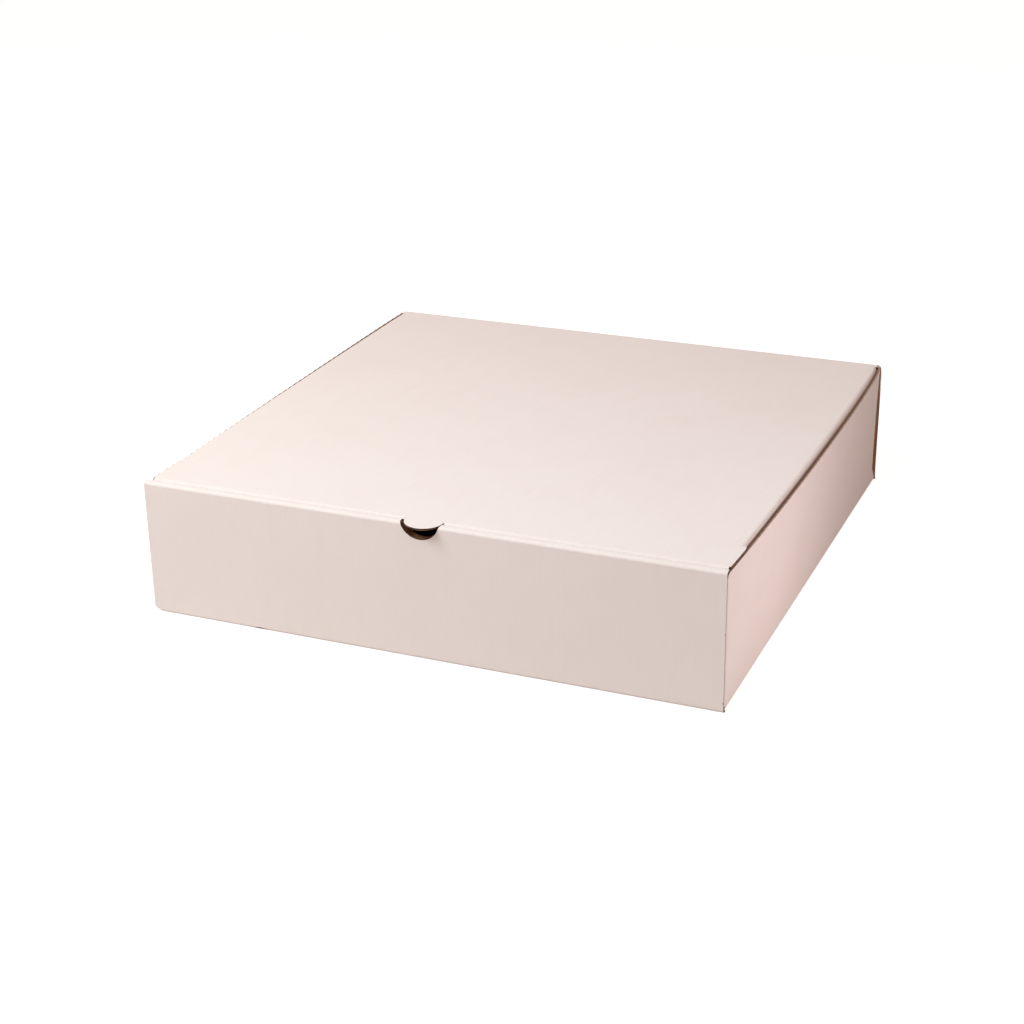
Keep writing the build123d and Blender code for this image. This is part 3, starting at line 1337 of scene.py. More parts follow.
    def _pinch(self, mesh: bpy.types.Mesh, sheets: Sequence[Sheet], wear: Wear) -> None:
        """Closes the raw edges that run along the flutes, where the die pinched the last flute shut.

        Args:
            mesh: The waved paper, which gets the closed edges.
            sheets: The sheets whose edges they are.
            wear: Small knocks that move the points.
        """
        reach = self.board.half - self.board.liner
        beads = bmesh.new()
        layer = beads.verts.layers.float_vector.new(LayerMesh.BLANK)
        for sheet in sheets:
            across = 1 if sheet.fold.across_is_s else 0
            flat = sheet.flat_mesh()
            for edge in sheet.open_edges(flat):
                start, stop = edge.verts[0].co, edge.verts[1].co
                middle, run = (start + stop) / 2, stop - start
                if abs(run[across]) > self.ALONG_FLUTES * abs(run[1 - across]):
                    continue
                inward = edge.link_faces[0].calc_center_median() - middle
                inward -= run * inward.dot(run) / run.length_squared
                inward.normalize()
                corners = []
                # Known fault: the loop over levels sets depth again, so only an edge's first end is placed
                # by the bead's depth. Its second end is placed by the level that was worked out last, and
                # the bead can stand out past the raw edge there.
                for depth in self.BEAD_DEPTHS:
                    for end in (start, stop):
                        place = end + inward * depth
                        a, s = np.array([place.x]), np.array([place.y])
                        spot, out = sheet.fold.middle(a, s)[0], sheet.fold.outward(a, s)[0]
                        blank = sheet.fold.blank(a, s)[0]
                        for level in (reach, -reach):
                            depth = sheet.level(self.board, level, a, s)[0]
                            corner = beads.verts.new(wear.knock((spot + out * depth)[None])[0])
                            corner[layer] = (blank[0], blank[1], level)
                            corners.append(corner)
                for side in self.BEAD_SIDES:
                    beads.faces.new([corners[one] for one in side])
            flat.free()
        bmesh.ops.recalc_face_normals(beads, faces=beads.faces[:])
        pinched = bpy.data.meshes.new("pinched")
        beads.to_mesh(pinched)
        beads.free()
        both = bmesh.new()
        both.from_mesh(mesh)
        waved = len(both.faces)
        both.from_mesh(pinched)
        both.faces.ensure_lookup_table()
        for face in both.faces[waved:]:
            face.material_index = 1
        both.to_mesh(mesh)
        both.free()
        mesh.materials.append(self.pinched_finish)
        bpy.data.meshes.remove(pinched)

    def _wave(self, made: bpy.types.Object) -> None:
        """Runs the node tree on an object and keeps what it gives as the object's own mesh."""
        tree = self.node_tree()
        modifier = made.modifiers.new("fluting", "NODES")
        modifier.node_group = tree
        values = {
            "Pitch": self.board.flute_pitch,
            "Height": self.board.thickness - 2 * self.board.liner,
            "Paper": self.paper,
            "Crush": self.crush,
            "Seed": self.seed,
            "Finish": self.finish,
        }
        for item in tree.interface.items_tree:
            if item.item_type == "SOCKET" and item.in_out == "INPUT" and item.name in values:
                modifier[item.identifier] = values[item.name]
        made.update_tag()
        bpy.context.view_layer.update()
        waved = bpy.data.meshes.new_from_object(made.evaluated_get(bpy.context.evaluated_depsgraph_get()))
        flat = made.data
        made.modifiers.remove(modifier)
        made.data = waved
        bpy.data.meshes.remove(flat)
        waved.name = made.name
        waved.materials.clear()
        waved.materials.append(self.finish)
        waved.polygons.foreach_set("material_index", [0] * len(waved.polygons))
        waved.polygons.foreach_set("use_smooth", [True] * len(waved.polygons))


@dataclass
class FoldedBody(ABC):
    """One body of the box, made of sheets that all have the board's three layers."""

    sizes: BoxSizes
    finishes: Finishes
    wear: Wear = field(default_factory=Wear)

    body: Body = field(init=False)
    slot: Slot = field(init=False)

    @abstractmethod
    def sheets(self) -> list[Sheet]:
        """Draws the sheets that the body is folded from."""

    def build(self) -> list[bpy.types.Object]:
        """Builds the body's outer liner, fluted core and inner liner, and hands them to the frame.

        Returns:
            The three finished pieces.
        """
        board = self.sizes.board
        name = self.body.value
        sheets = self.sheets()
        skin = board.half - board.liner
        outer, inner = LayerMesh(board, skin, board.half), LayerMesh(board, -board.half, -skin)
        for sheet in sheets:
            outer.add(sheet)
            inner.add(sheet)
        look = self.finishes
        outer_faces = {Face.OUTER: look.white, Face.INNER: look.cut, Face.CUT: look.cut}
        inner_faces = {Face.OUTER: look.cut, Face.INNER: look.kraft, Face.CUT: look.cut}
        made = [
            outer.make(f"{name}_outer_liner", outer_faces, self.wear),
            FlutedCore(board, look.fluting, look.pinched).make(f"{name}_fluted_core", sheets, self.wear),
            inner.make(f"{name}_inner_liner", inner_faces, self.wear),
        ]
        for piece in made:
            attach(piece, name)
            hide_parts(name)
        return made


@dataclass
class TrayBoard(FoldedBody):
    """The tray: rolled front wall, floor, rear wall and two side walls with their ears."""

    lock_width: float = 40.0 * MM
    lock_spacing: float = 196.0 * MM
    lock_chamfer: float = 0.8 * MM
    lock_gap: float = 0.3 * MM
    notch_radius: float = 11.3 * MM
    ear_length: float = 72.0 * MM
    ear_taper: float = 4.0 * MM
    ear_corner: float = 6.0 * MM
    slit_length: float = 10.7 * MM
    slit_width: float = 0.9 * MM
    slit_place: float = -98.4 * MM
    slit_share: float = 0.46
    bow_step: float = 6.5 * MM
    crushed_reach: float = 1.2 * MM
    right_crush: float = 0.4
    outside_crush: float = 0.65

    # Height, depth and half length of the nicks in the front wall's right edge
    NICKS = ((44.5 * MM, 0.5 * MM, 0.7 * MM), (6.0 * MM, 0.6 * MM, 0.9 * MM))
    # Rows in millimetres, close enough for the board to bend where it is knocked or drawn in
    CORNER_ROWS = (0.5, 1, 1.6, 2.4, 3.4)
    CORNER_COLUMNS = (0.6, 1.2, 1.8, 2.6, 3.8)
    CREASE_ROWS = (1, 2, 3, 4.5, 6)
    WALL_ROWS = (1, 2, 3.5, 5, 34)
    NOTCH_STEPS = 4
    NOTCH_ROUND_STEPS = 18

    def __post_init__(self) -> None:
        """Names the body and its material slot."""
        self.body, self.slot = Body.TRAY, Slot.TRAY_BOARD

    def strip_path(self) -> FoldPath:
        """Lays the fold path of the strip, from the inner front panel to just below the rear crease."""
        size, half = self.sizes, self.sizes.board.half
        inner_y, outer_y = size.roll_rear - half, -size.half_depth + half
        top = size.front_height - half
        corners = [
            (inner_y, size.board.thickness + size.board.layer_gap),
            (inner_y, top),
            (outer_y, top),
            (outer_y, half),
            (size.hinge_y, half),
            (size.hinge_y, size.hinge_z - size.crease_reach),
        ]
        return FoldPath(corners, size.board.crease_middle)

    def strip(self) -> Sheet:
        """Draws the strip: inner front panel, top strip, front wall, floor and rear wall in one."""
        size, path = self.sizes, self.strip_path()
        roll, brow, toe, heel = path.folds()
        wide, floor, inner, end = size.half_width, size.floor_half_width, size.lid_half_width, path.length
        roll_end, front_top, toe_end = roll.end, brow.end, toe.end

        def side_edge(nicks: Sequence[tuple[float, float, float]]) -> list[tuple[float, float]]:
            """Draws the right edge from the inner panel to the rear crease, with some nicks."""
            edge = [(inner, 0.0), (inner, roll_end), (wide, roll_end)]
            for height, depth, tall in sorted(nicks, reverse=True):
                middle = toe.start - (height - size.board.crease_middle - size.board.half)
                edge += [(wide, middle - tall), (wide - depth, middle), (wide, middle + tall)]
            edge += [(wide, toe_end), (floor, toe_end), (floor, heel.start), (wide, heel.start), (wide, end)]
            return edge

        outline = side_edge(self.NICKS) + mirrored(side_edge(())) + self._lock_edge()
        floor_s = toe_end - (-size.half_depth + size.board.half + size.board.crease_middle)
        low = floor_s + (size.roll_rear - size.board.thickness - self.lock_gap)
        high = floor_s + (size.roll_rear + self.lock_gap)
        half_slot = self.lock_width / 2 + self.lock_gap
        holes = [self._notch(path)]
        for side in Side:
            place = side.value * self.lock_spacing / 2
            left, right = place - half_slot, place + half_slot
            holes.append([(left, low), (right, low), (right, high), (left, high)])
        slit_s = toe.start + toe.length * self.slit_share
        half_slit, bulge = self.slit_length / 2, self.slit_width / 2
        ends = ((self.slit_place - half_slit, slit_s), (self.slit_place + half_slit, slit_s))
        holes.append([ends[0], (self.slit_place, slit_s - bulge), ends[1], (self.slit_place, slit_s + bulge)])

        def joined(a: float, s: float) -> bool:
            """Says where the strip runs on into a side crease or the rear crease."""
            on_side = abs(abs(a) - floor) < CREASE_TOLERANCE and toe_end < s < heel.start
            return on_side or abs(s - end) < JOINT_TOLERANCE

        def kept(a: np.ndarray, s: np.ndarray) -> np.ndarray:
            """Tells how much of the thickness is left near the side edges of the front wall."""
            reach = self.crushed_reach
            on_front = ramp(s, front_top, reach) * ramp(toe.start - s, 0.0, reach)
            return 1.0 - self.outside_crush * ramp(np.abs(a), wide - reach, reach) * on_front

        rows = [toe.start - row * MM for row in self.CORNER_ROWS]
        rows += [toe.start - self.crushed_reach, front_top + self.crushed_reach]
        columns = [-wide + column * MM for column in self.CORNER_COLUMNS]
        columns += [sign * (wide - self.crushed_reach) for sign in (-1, 1)]
        return Sheet(StripFold(path), outline, columns, path.cuts() + rows, holes, joined, kept)

    def _notch(self, path: FoldPath) -> list[tuple[float, float]]:
        """Draws the finger notch: round in the top strip and round again where it reaches down both panels.

        Args:
            path: The strip's fold path.

        Returns:
            The hole's outline on the flat strip.
        """
        size, radius = self.sizes, self.notch_radius
        roll, brow = path.folds()[:2]
        middle = (roll.end + brow.start) / 2
        flat_end = brow.start - middle
        fold_end = brow.end - middle
        panel_top = size.front_height - size.board.half - size.board.crease_middle
        near = math.sqrt(radius**2 - flat_end**2)
        far = math.sqrt(radius**2 - (size.front_height + size.roll_depth / 2 - panel_top) ** 2)
        half: list[tuple[float, float]] = []
        for share in np.linspace(0.0, 1.0, self.NOTCH_STEPS):
            half.append((math.sqrt(radius**2 - (flat_end * share) ** 2), flat_end * share))
        for share in np.linspace(1 / self.NOTCH_STEPS, 1.0, self.NOTCH_STEPS):
            half.append((near + (far - near) * share, flat_end + (fold_end - flat_end) * share))
        start = math.acos(far / radius)
        for turn in np.linspace(0.0, math.pi / 2, self.NOTCH_ROUND_STEPS)[1:]:
            angle = start + (math.pi / 2 - start) * turn / (math.pi / 2)
            low = radius * math.sin(angle) - radius * math.sin(start)
            half.append((radius * math.cos(angle), fold_end + low))
        right = [(a, middle + s) for a, s in half]
        left = mirrored(right[:-1])
        upper = [(a, 2 * middle - s) for a, s in right + left]
        return right + left + upper[::-1][1:-1]

    def _lock_edge(self) -> list[tuple[float, float]]:
        """Draws the inner panel's lower edge from left to right, with its two lock tabs."""
        half, chamfer = self.lock_width / 2, self.lock_chamfer
        drop = self.sizes.board.thickness
        edge: list[tuple[float, float]] = []
        for side in (Side.LEFT, Side.RIGHT):
            place = side.value * self.lock_spacing / 2
            edge += [(place - half, 0.0), (place - half + chamfer, -drop)]
            edge += [(place + half - chamfer, -drop), (place + half, 0.0)]
        return edge

    def side_crease(self, side: Side) -> Sheet:
        """Draws the fold between the floor and a side wall."""
        size, half = self.sizes, self.sizes.board.half
        middle = size.half_width - half
        corners = [(size.floor_half_width, half), (middle, half), (middle, size.wall_foot)]
        path = FoldPath(corners, size.board.crease_middle)
        reach = size.half_depth - size.board.crease_outside - size.corner_relief
        outline = [(-reach, 0.0), (reach, 0.0), (reach, path.length), (-reach, path.length)]

        def joined(a: float, s: float) -> bool:
            """Says where the fold runs on into the floor and the wall."""
            at_wall = path.length - s < JOINT_TOLERANCE and abs(a) < size.wall_half_length
            return s < JOINT_TOLERANCE or at_wall

        ends = [-reach + row * MM for row in self.CREASE_ROWS]
        ends += [sign * size.wall_half_length for sign in (-1, 1)]
        fold = SideFold(side, path, size.floor_half_width)
        return Sheet(fold, outline, ends, path.cuts(), joined=joined)

    def wall(self, side: Side) -> Sheet:
        """Draws a side wall with its front and rear ear."""
        size, half = self.sizes, self.sizes.board.half
        middle = size.half_width - half
        path = FoldPath([(middle, size.wall_foot), (middle, size.wall_top)], size.board.crease_middle)
        start = (middle, size.wall_half_length)
        corner = (middle, size.ear_plane)
        ear_path = FoldPath(
            [start, corner, (size.half_width - self.ear_length, size.ear_plane)], size.board.crease_middle
        )
        fold_end = ear_path.folds()[0].end + size.board.land
        height = path.length
        rear_top = size.hinge_z + half - size.board.thickness - 2 * size.board.layer_gap
        rear_lower = size.front_height - size.board.half * 2 - size.corner_relief - rear_top
        corners: list[tuple[float, float, float]] = []
        for end in (End.FRONT, End.REAR):
            top = height if end is End.FRONT else height - rear_lower
            near = end.value * (size.wall_half_length + fold_end)
            far = end.value * (size.wall_half_length + ear_path.length)
            low_corners = [(near, 0.0, 0.0), (far, self.ear_taper, self.ear_corner)]
            high_corners = [(far, top - self.ear_taper, self.ear_corner), (near, top, 0.0)]
            if end is End.FRONT:
                corners += low_corners + high_corners
            else:
                turn = end.value * size.wall_half_length
                corners += [(turn, height, 0.0), (turn, top, 0.0)] + high_corners[::-1] + low_corners[::-1]
        outline = rounded(corners)

        def joined(a: float, s: float) -> bool:
            """Says where the wall stands on its foot crease."""
            return s < JOINT_TOLERANCE and abs(a) < size.wall_half_length

        straight = size.wall_half_length
        count = round(2 * straight / self.bow_step)
        columns = [-straight + 2 * straight * step / count for step in range(count + 1)]
        columns += [sign * (straight + place) for place in ear_path.cuts() for sign in (-1, 1) if place > 0]
        fold = WallFold(side, path, size.floor_half_width + size.wall_foot, sizes=size, ear_path=ear_path)
        crushed_from = height - self.crushed_reach
        rows = [row * MM for row in self.WALL_ROWS] + [crushed_from]
        crush = self.right_crush if side is Side.RIGHT else self.outside_crush

        def kept(a: np.ndarray, s: np.ndarray) -> np.ndarray:
            """Tells how much of the thickness is left near the wall's top edge."""
            return 1.0 - crush * ramp(s, crushed_from, self.crushed_reach)

        return Sheet(fold, outline, columns, rows, joined=joined, kept=kept, firm_face=side.value)

    def sheets(self) -> list[Sheet]:
        """Draws all of the tray's sheets."""
        drawn = [self.strip()]
        for side in Side:
            drawn += [self.side_crease(side), self.wall(side)]
        return drawn


@dataclass
class LidBoard(FoldedBody):
    """The lid: its panel, thumb tab, tuck flap and two side flaps, climbing a little towards the front."""

    tab_radius: float = 10.57 * MM
    tuck_height: float = 50.0 * MM
    tuck_inset: float = 1.5 * MM
    tuck_taper: float = 5.0 * MM
    tuck_corner: float = 12.0 * MM
    flap_height: float = 45.0 * MM
    flap_front_setback: float = 33.0 * MM
    flap_rear_setback: float = 6.5 * MM
    flap_slant: float = 8.0 * MM
    flap_corner: float = 10.0 * MM
    flap_relief: float = 0.15 * MM
    lid_corner: float = 0.6 * MM
    fold_inset: float = 0.35 * MM
    worn_inset: float = 1.9 * MM
    tab_shift: float = 0.5 * MM
    rim_reach: float = 1.2 * MM
    rim_crush: float = 0.5
    right_flap_share: float = 0.76
    left_flap_share: float = 1.1
    raw_edge_inset: float = 1.0 * MM
    bow_steps: int = 32

    TAB_STEPS = 28
    RIM_STEPS = 14
    RAW_EDGE_POINTS = 4
    TAB_PATH = 20 * MM

    def __post_init__(self) -> None:
        """Names the body and its material slot."""
        self.body, self.slot = Body.LID, Slot.LID_BOARD

    @property
    def rear_edge(self) -> float:
        """Line where the lid panel leaves the rear crease."""
        return self.sizes.hinge_y - self.sizes.crease_reach

    @property
    def flap_middle(self) -> float:
        """Distance of a side flap's middle from the box's middle."""
        size = self.sizes
        return size.half_width - size.board.thickness - size.flap_gap - size.board.half

    @property
    def flap_start(self) -> float:
        """Line where a side flap's crease leaves the lid panel."""
        return self.flap_middle - self.sizes.board.crease_middle - self.sizes.board.land

    def tilted(self, flat: Fold) -> Tilted:
        """Turns a sheet of the level lid as the closed lid is turned."""
        return Tilted(flat, self.sizes)

    @property
    def flap_ends(self) -> tuple[float, float]:
        """Front and rear end of a side flap's crease."""
        half_depth = self.sizes.half_depth
        return -half_depth + self.flap_front_setback, half_depth - self.flap_rear_setback

    def stations(self) -> list[float]:
        """Gives the places along a side flap, from rear to front, at which its crease bends with the wall."""
        front, rear = self.flap_ends
        return np.linspace(rear, front, self.bow_steps + 1).tolist()

    def half_round(self, base: float) -> list[tuple[float, float]]:
        """Draws the thumb tab's round rim from left to right, with both ends on a base line."""
        turns = [math.pi * step / self.TAB_STEPS for step in range(self.TAB_STEPS + 1)]
        radius = self.tab_radius
        return [(self.tab_shift - radius * math.cos(turn), base + radius * math.sin(turn)) for turn in turns]

    def long_edge(self, side: Side) -> list[tuple[float, float, float]]:
        """Draws a long edge of the panel from the rear to the front: raw, the flap's crease, and raw again.

        Args:
            side: Which of the two edges.

        Returns:
            For each point its distance from the middle, its place on the fold path and its corner radius.
        """
        size, bow = self.sizes, self.sizes.bow(side)
        stations = self.stations()
        crease = [
            (self.flap_start + float(size.crease_draw(y) * bow.at(y)), self.rear_edge - y) for y in stations
        ]
        rear, front = crease[0][1] - self.flap_relief, crease[-1][1] + self.flap_relief
        edge = [(size.lid_half_width, 0.0), (size.lid_half_width, rear), (crease[0][0], rear)]
        edge += crease + [(crease[-1][0], front)]
        raw = size.half_width - self.raw_edge_inset
        last = self.rear_edge - size.tab_root - self.lid_corner
        points = np.linspace(front, last, self.RAW_EDGE_POINTS)
        edge += [(raw + float(bow.at(self.rear_edge - s)), s) for s in points]
        return [(a, s, 0.0) for a, s in edge]

    def panel(self) -> Sheet:
        """Draws the lid panel and the tuck flap that hangs from its front crease."""
        size, half = self.sizes, self.sizes.board.half
        tuck_y = size.lid_front + half
        drop = size.swing_radius - math.sqrt(size.swing_radius**2 - self.tuck_height**2)
        corners = [
            (self.rear_edge, size.hinge_z),
            (tuck_y, size.hinge_z),
            (tuck_y + drop, size.hinge_z - self.tuck_height),
        ]
        path = FoldPath(corners, size.board.crease_middle)
        root = self.rear_edge - size.tab_root
        flap_front = self.rear_edge + size.half_depth - self.flap_front_setback + self.flap_relief
        flap_rear = self.rear_edge - size.half_depth + self.flap_rear_setback - self.flap_relief
        tuck = size.lid_half_width - self.tuck_inset
        fold_start = path.folds()[0].start
        fold_end = path.folds()[0].end
        edges = []
        for side in (Side.RIGHT, Side.LEFT):
            edge = self.long_edge(side)
            wide = edge[-1][0]
            inset = self.fold_inset if side is Side.RIGHT else self.worn_inset
            edge += [
                (wide - inset, root, 0.0),
                (wide - inset, fold_end, self.lid_corner),
                (tuck, fold_end + 2 * self.tuck_inset, 0.0),
                (tuck - self.tuck_taper, path.length, self.tuck_corner),
            ]
            edges.append(edge)
        right = edges[0]
        left = [(-a, s, radius) for a, s, radius in reversed(edges[1])]
        tab_left, tab_right = self.tab_shift - self.tab_radius, self.tab_shift + self.tab_radius
        hole = [(tab_left, root), *self.half_round(root + size.board.land / 2), (tab_right, root)]

        def joined(a: float, s: float) -> bool:
            """Says where the panel runs on into the rear crease, a side flap or the thumb tab."""
            on_flap = abs(a) > self.flap_start - CREASE_TOLERANCE and flap_rear + self.flap_relief < s
            on_flap = on_flap and s < flap_front - self.flap_relief
            on_tab = abs(s - root) < JOINT_TOLERANCE and tab_left < a < tab_right
            return s < JOINT_TOLERANCE or on_flap or on_tab

        def kept(a: np.ndarray, s: np.ndarray) -> np.ndarray:
            """Tells how much of the thickness is left near the raw edges in front of the side flaps."""
            bows = [size.bow(side).at(self.rear_edge - s) for side in (Side.RIGHT, Side.LEFT)]
            rim = size.half_width - self.raw_edge_inset + np.where(a > 0, *bows)
            near_rim = ramp(np.abs(a), rim - self.rim_reach, self.rim_reach)
            beside_wall = ramp(s, flap_front, self.rim_reach) * (s < fold_start)
            return 1.0 - self.rim_crush * near_rim * beside_wall

        rows = [flap_rear + self.flap_relief, flap_front - self.flap_relief, flap_front + self.rim_reach]
        rims = [sign * (size.half_width - self.raw_edge_inset - self.rim_reach) for sign in (-1, 1)]
        fold, outline = self.tilted(StripFold(path)), rounded(right + left)
        return Sheet(fold, outline, rims, path.cuts() + rows, [hole], joined, kept, firm_face=-1.0)

    def thumb_tab(self) -> Sheet:
        """Draws the half-round tab that stays in the plane of the lid."""
        size = self.sizes
        end = (size.tab_root - self.TAB_PATH, size.hinge_z)
        path = FoldPath([(size.tab_root, size.hinge_z), end], size.board.crease_middle)
        neck = size.tab_root - size.lid_front
        left, right = self.tab_shift - self.tab_radius, self.tab_shift + self.tab_radius
        outline = [(left, 0.0), *self.half_round(neck), (right, 0.0)]
        fold = self.tilted(StripFold(path, blank_start=self.rear_edge - size.tab_root))
        inner_radius = self.tab_radius - self.rim_reach

        def kept(a: np.ndarray, s: np.ndarray) -> np.ndarray:
            """Tells how much of the thickness is left near the tab's round rim."""
            reach = np.hypot(a - self.tab_shift, np.maximum(s - neck, 0.0))
            return 1.0 - self.rim_crush * ramp(s, 0.0, neck) * ramp(reach, inner_radius, self.rim_reach)

        turns = [math.pi * step / self.RIM_STEPS for step in range(self.RIM_STEPS + 1)]
        columns = [self.tab_shift + inner_radius * math.cos(turn) for turn in turns]
        rows = [neck] + [neck + inner_radius * math.sin(turn) for turn in turns[1 : self.RIM_STEPS // 2 + 1]]
        return Sheet(fold, outline, columns, rows, joined=joined_at_start, kept=kept)

    def side_flap(self, side: Side) -> Sheet:
        """Draws a side flap with its crease."""
        size = self.sizes
        corners = [
            (self.flap_start, size.hinge_z),
            (self.flap_middle, size.hinge_z),
            (self.flap_middle, size.hinge_z - self.flap_height),
        ]
        path = FoldPath(corners, size.board.crease_middle)
        front, rear = self.flap_ends
        straight = path.folds()[0].end + size.board.land
        outline = rounded(
            [
                (front, 0.0, 0.0),
                (rear, 0.0, 0.0),
                (rear, straight, 0.0),
                (rear - self.flap_slant, path.length, self.flap_corner),
                (front + self.flap_slant, path.length, self.flap_corner),
                (front, straight, 0.0),
            ]
        )
        share = self.right_flap_share if side is Side.RIGHT else self.left_flap_share
        fold = FlapFold(side, path, self.flap_start, -1.0, sizes=size, flap_share=share)
        return Sheet(self.tilted(fold), outline, self.stations(), path.cuts(), joined=joined_at_start)

    def sheets(self) -> list[Sheet]:
        """Draws all of the lid's sheets."""
        return [self.panel(), self.thumb_tab(), self.side_flap(Side.LEFT), self.side_flap(Side.RIGHT)]


@dataclass
class RearCrease:
    """The crease that the lid swings on: the short stretch of board between rear wall and lid."""

    sizes: BoxSizes
    finishes: Finishes
    rear_corner: float = 2.5 * MM
    bend_half: float = 1.06 * MM
    name: str = "rear_crease"

    CORNER_STEPS = 8
    ROWS = 14

    def sheet(self) -> Sheet:
        """Draws the stretch, with the rear wall's rounded upper corners."""
        size, reach, half = self.sizes, self.sizes.crease_reach, self.sizes.board.half
        along, up = reach * math.cos(size.lid_rise), reach * math.sin(size.lid_rise)
        lid_end = (size.hinge_y - along, size.hinge_z + up)
        corners = [(size.hinge_y, size.hinge_z - reach), (size.hinge_y, size.hinge_z), lid_end]
        path = FoldPath(corners, size.board.crease_middle)
        fold, top = path.folds()[0], size.hinge_z + half
        right = [(size.half_width, 0.0), (size.half_width, reach + half - self.rear_corner)]
        for step in range(1, self.CORNER_STEPS + 1):
            turn = math.pi / 2 * step / self.CORNER_STEPS
            height = top - size.board.crease_outside * (1 - math.sin(turn))
            rise = height - (top - self.rear_corner)
            wide = size.half_width - self.rear_corner + math.sqrt(max(self.rear_corner**2 - rise**2, 0.0))
            place = fold.start + fold.length * step / self.CORNER_STEPS
            right.append((max(wide, size.lid_half_width), place))
        right.append((size.lid_half_width, path.length))
        rows = path.cuts() + [path.length * row / self.ROWS for row in range(1, self.ROWS)]

        def joined(a: float, s: float) -> bool:
            """Says where the crease runs on into the rear wall and the lid."""
            return s < JOINT_TOLERANCE or path.length - s < JOINT_TOLERANCE

        return Sheet(StripFold(path), right + mirrored(right), (), rows, joined=joined)

    def build(self) -> bpy.types.Object:
        """Builds the crease as one layer of board, with its place baked into the mesh."""
        board = self.sizes.board
        layer = LayerMesh(board, -board.half, board.half)
        layer.add(self.sheet())
        look = self.finishes
        faces = {Face.OUTER: look.white, Face.INNER: look.kraft, Face.CUT: look.white}
        made = layer.make(self.name, faces, Wear())
        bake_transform(made)
        return made


@dataclass(frozen=True)
class Lamp:
    """A soft studio lamp."""

    name: str
    place: tuple[float, float, float]
    target: tuple[float, float, float]
    size: float
    watts: float
    colour: str

    def hang(self) -> bpy.types.Object:
        """Hangs the lamp and points it at its target."""
        data = bpy.data.lights.new(self.name, "AREA")
        data.shape = "DISK"
        data.size = self.size
        data.energy = self.watts
        data.color = linear(self.colour)[:3]
        made = add_object(self.name, data)
        made.location = self.place
        aim = Vector(self.target) - Vector(self.place)
        made.rotation_euler = aim.to_track_quat("-Z", "Y").to_euler()
        made.visible_camera = False
        return made


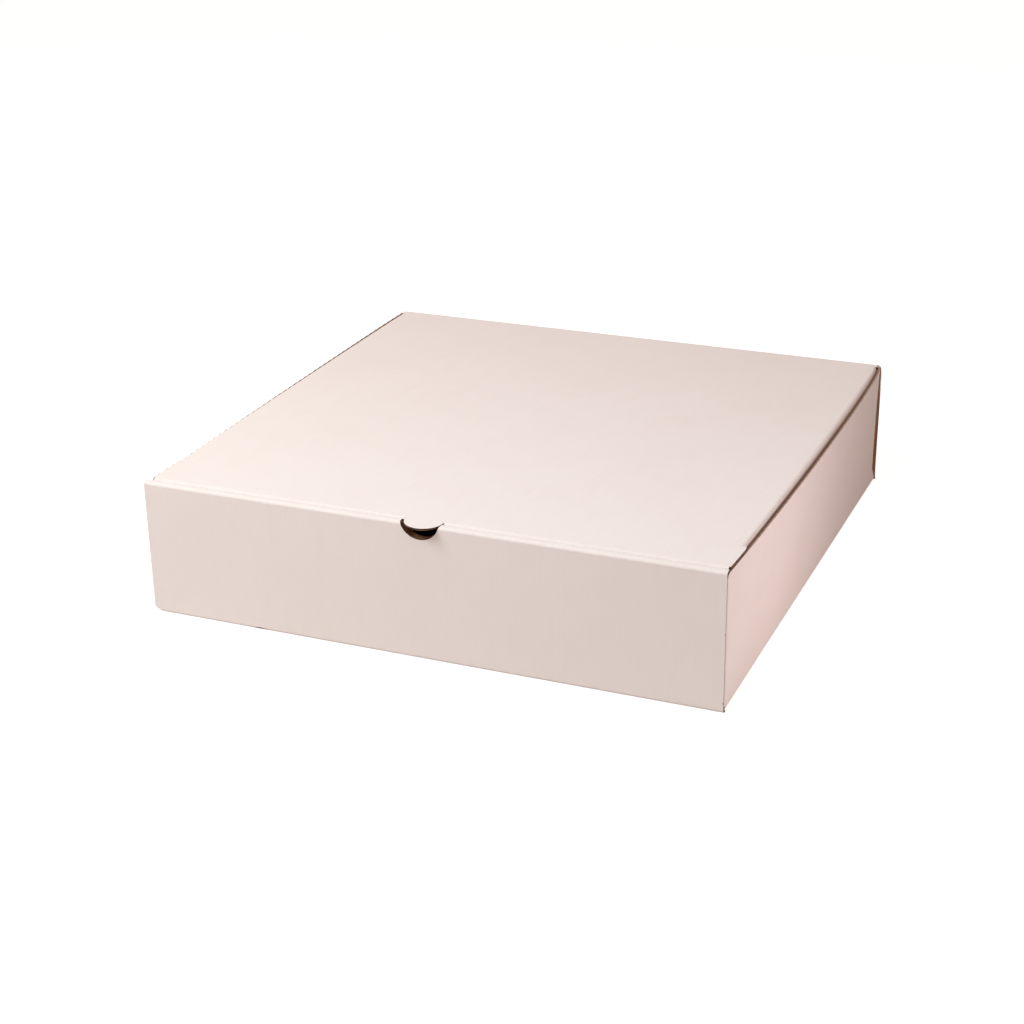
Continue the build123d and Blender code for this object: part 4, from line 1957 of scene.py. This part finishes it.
@dataclass
class Studio:
    """Pale floor, soft lamps and the camera at the photograph's angle."""

    camera_place: tuple[float, float, float] = (0.41103, -1.01457, 0.49153)
    camera_right: tuple[float, float, float] = (0.92362792, 0.38298911, -0.01519228)
    camera_up: tuple[float, float, float] = (-0.13908414, 0.37182735, 0.91782353)
    lens: float = 70.38
    sensor_width: float = 36.0
    clip_start: float = 0.01
    clip_end: float = 50.0
    floor_size: float = 12.0
    floor_colour: str = "#CFCBC9"
    ambient_colour: str = "#FFDCCF"
    ambient: float = 0.40
    floor_lift: float = 0.8
    lamps: Sequence[Lamp] = (
        Lamp("key_lamp", (-0.9, -0.65, 1.0), (0.0, -0.05, 0.05), 0.5, 16.45, "#F0FDFF"),
        Lamp("top_lamp", (0.15, -0.3, 0.6), (0.0, -0.05, 0.05), 0.5, 1.04, "#D4F1FF"),
        Lamp("side_lamp", (0.36, -0.1, 0.06), (0.165, -0.1, 0.04), 0.15, 0.175, "#FFF8FA"),
    )

    def _white_to_camera(self, tree: bpy.types.NodeTree) -> bpy.types.NodeSocket:
        """Adds a value that is 1 for what the camera, a gloss or a clear material sees."""
        path = add_node(tree, "ShaderNodeLightPath").outputs
        total = path["Is Camera Ray"]
        for name in ("Is Glossy Ray", "Is Transmission Ray"):
            total = maths(tree, "MAXIMUM", total, path[name])
        return total

    def light(self) -> None:
        """Sets the even light of the room and hangs the lamps."""
        world = bpy.data.worlds.new("studio")
        bpy.context.scene.world = world
        world.use_nodes = True
        tree = world.node_tree
        tree.nodes.clear()
        light = {"Color": linear(self.ambient_colour), "Strength": self.ambient}
        room = add_node(tree, "ShaderNodeBackground", light)
        white = add_node(tree, "ShaderNodeBackground", {"Color": (1, 1, 1, 1), "Strength": 1.0})
        both = {0: self._white_to_camera(tree), 1: room.outputs[0], 2: white.outputs[0]}
        mixed = add_node(tree, "ShaderNodeMixShader", both)
        add_node(tree, "ShaderNodeOutputWorld", {"Surface": mixed.outputs[0]})
        for lamp in self.lamps:
            lamp.hang()

    def lay_floor(self) -> bpy.types.Object:
        """Lays the floor that the box stands on."""
        half = self.floor_size / 2
        mesh = bpy.data.meshes.new("floor")
        corners = [(-half, -half, 0), (half, -half, 0), (half, half, 0), (-half, half, 0)]
        mesh.from_pydata(corners, [], [(0, 1, 2, 3)])
        made = add_object("floor", mesh)
        material = bpy.data.materials.new("studio_floor")
        material.use_nodes = True
        tree = material.node_tree
        tree.nodes.clear()
        paint = add_node(tree, "ShaderNodeBsdfDiffuse", {"Color": linear(self.floor_colour)})
        seen = maths(tree, "MULTIPLY", self._white_to_camera(tree), self.floor_lift)
        lift = add_node(tree, "ShaderNodeEmission", {"Color": (1, 1, 1, 1), "Strength": seen})
        both = add_node(tree, "ShaderNodeAddShader", {0: paint.outputs[0], 1: lift.outputs[0]})
        add_node(tree, "ShaderNodeOutputMaterial", {"Surface": both.outputs[0]})
        mesh.materials.append(material)
        return made

    def set_camera(self) -> bpy.types.Object:
        """Places the camera as the photograph was taken."""
        data = bpy.data.cameras.new("camera")
        data.lens = self.lens
        data.sensor_width = self.sensor_width
        data.clip_start = self.clip_start
        data.clip_end = self.clip_end
        made = add_object("camera", data)
        right, up = Vector(self.camera_right), Vector(self.camera_up)
        matrix = Matrix((right, up, right.cross(up))).transposed().to_4x4()
        matrix.translation = self.camera_place
        made.matrix_world = matrix
        bpy.context.scene.camera = made
        return made


def main() -> None:
    """Loads the frame, builds the box and the studio, and reports each piece."""
    logging.basicConfig(level=logging.INFO, format="%(message)s")
    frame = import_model()
    bpy.context.scene.view_settings.view_transform = "Standard"
    sizes = BoxSizes.from_frame(frame)
    finishes = Finishes.make(sizes.board)
    corner = (-sizes.half_width, -sizes.half_depth, 0.0)
    crushed = Wear((Knock(centre=corner, push=(1.1 * MM, 0.8 * MM, 0.9 * MM), reach=3.8 * MM),))
    pieces = TrayBoard(sizes, finishes, crushed).build()
    pieces += LidBoard(sizes, finishes).build()
    pieces.append(RearCrease(sizes, finishes).build())
    studio = Studio()
    studio.lay_floor()
    studio.light()
    studio.set_camera()
    for piece in pieces:
        log.info("%s: %d vertices, %d faces", piece.name, len(piece.data.vertices), len(piece.data.polygons))


if __name__ == "__main__":
    main()
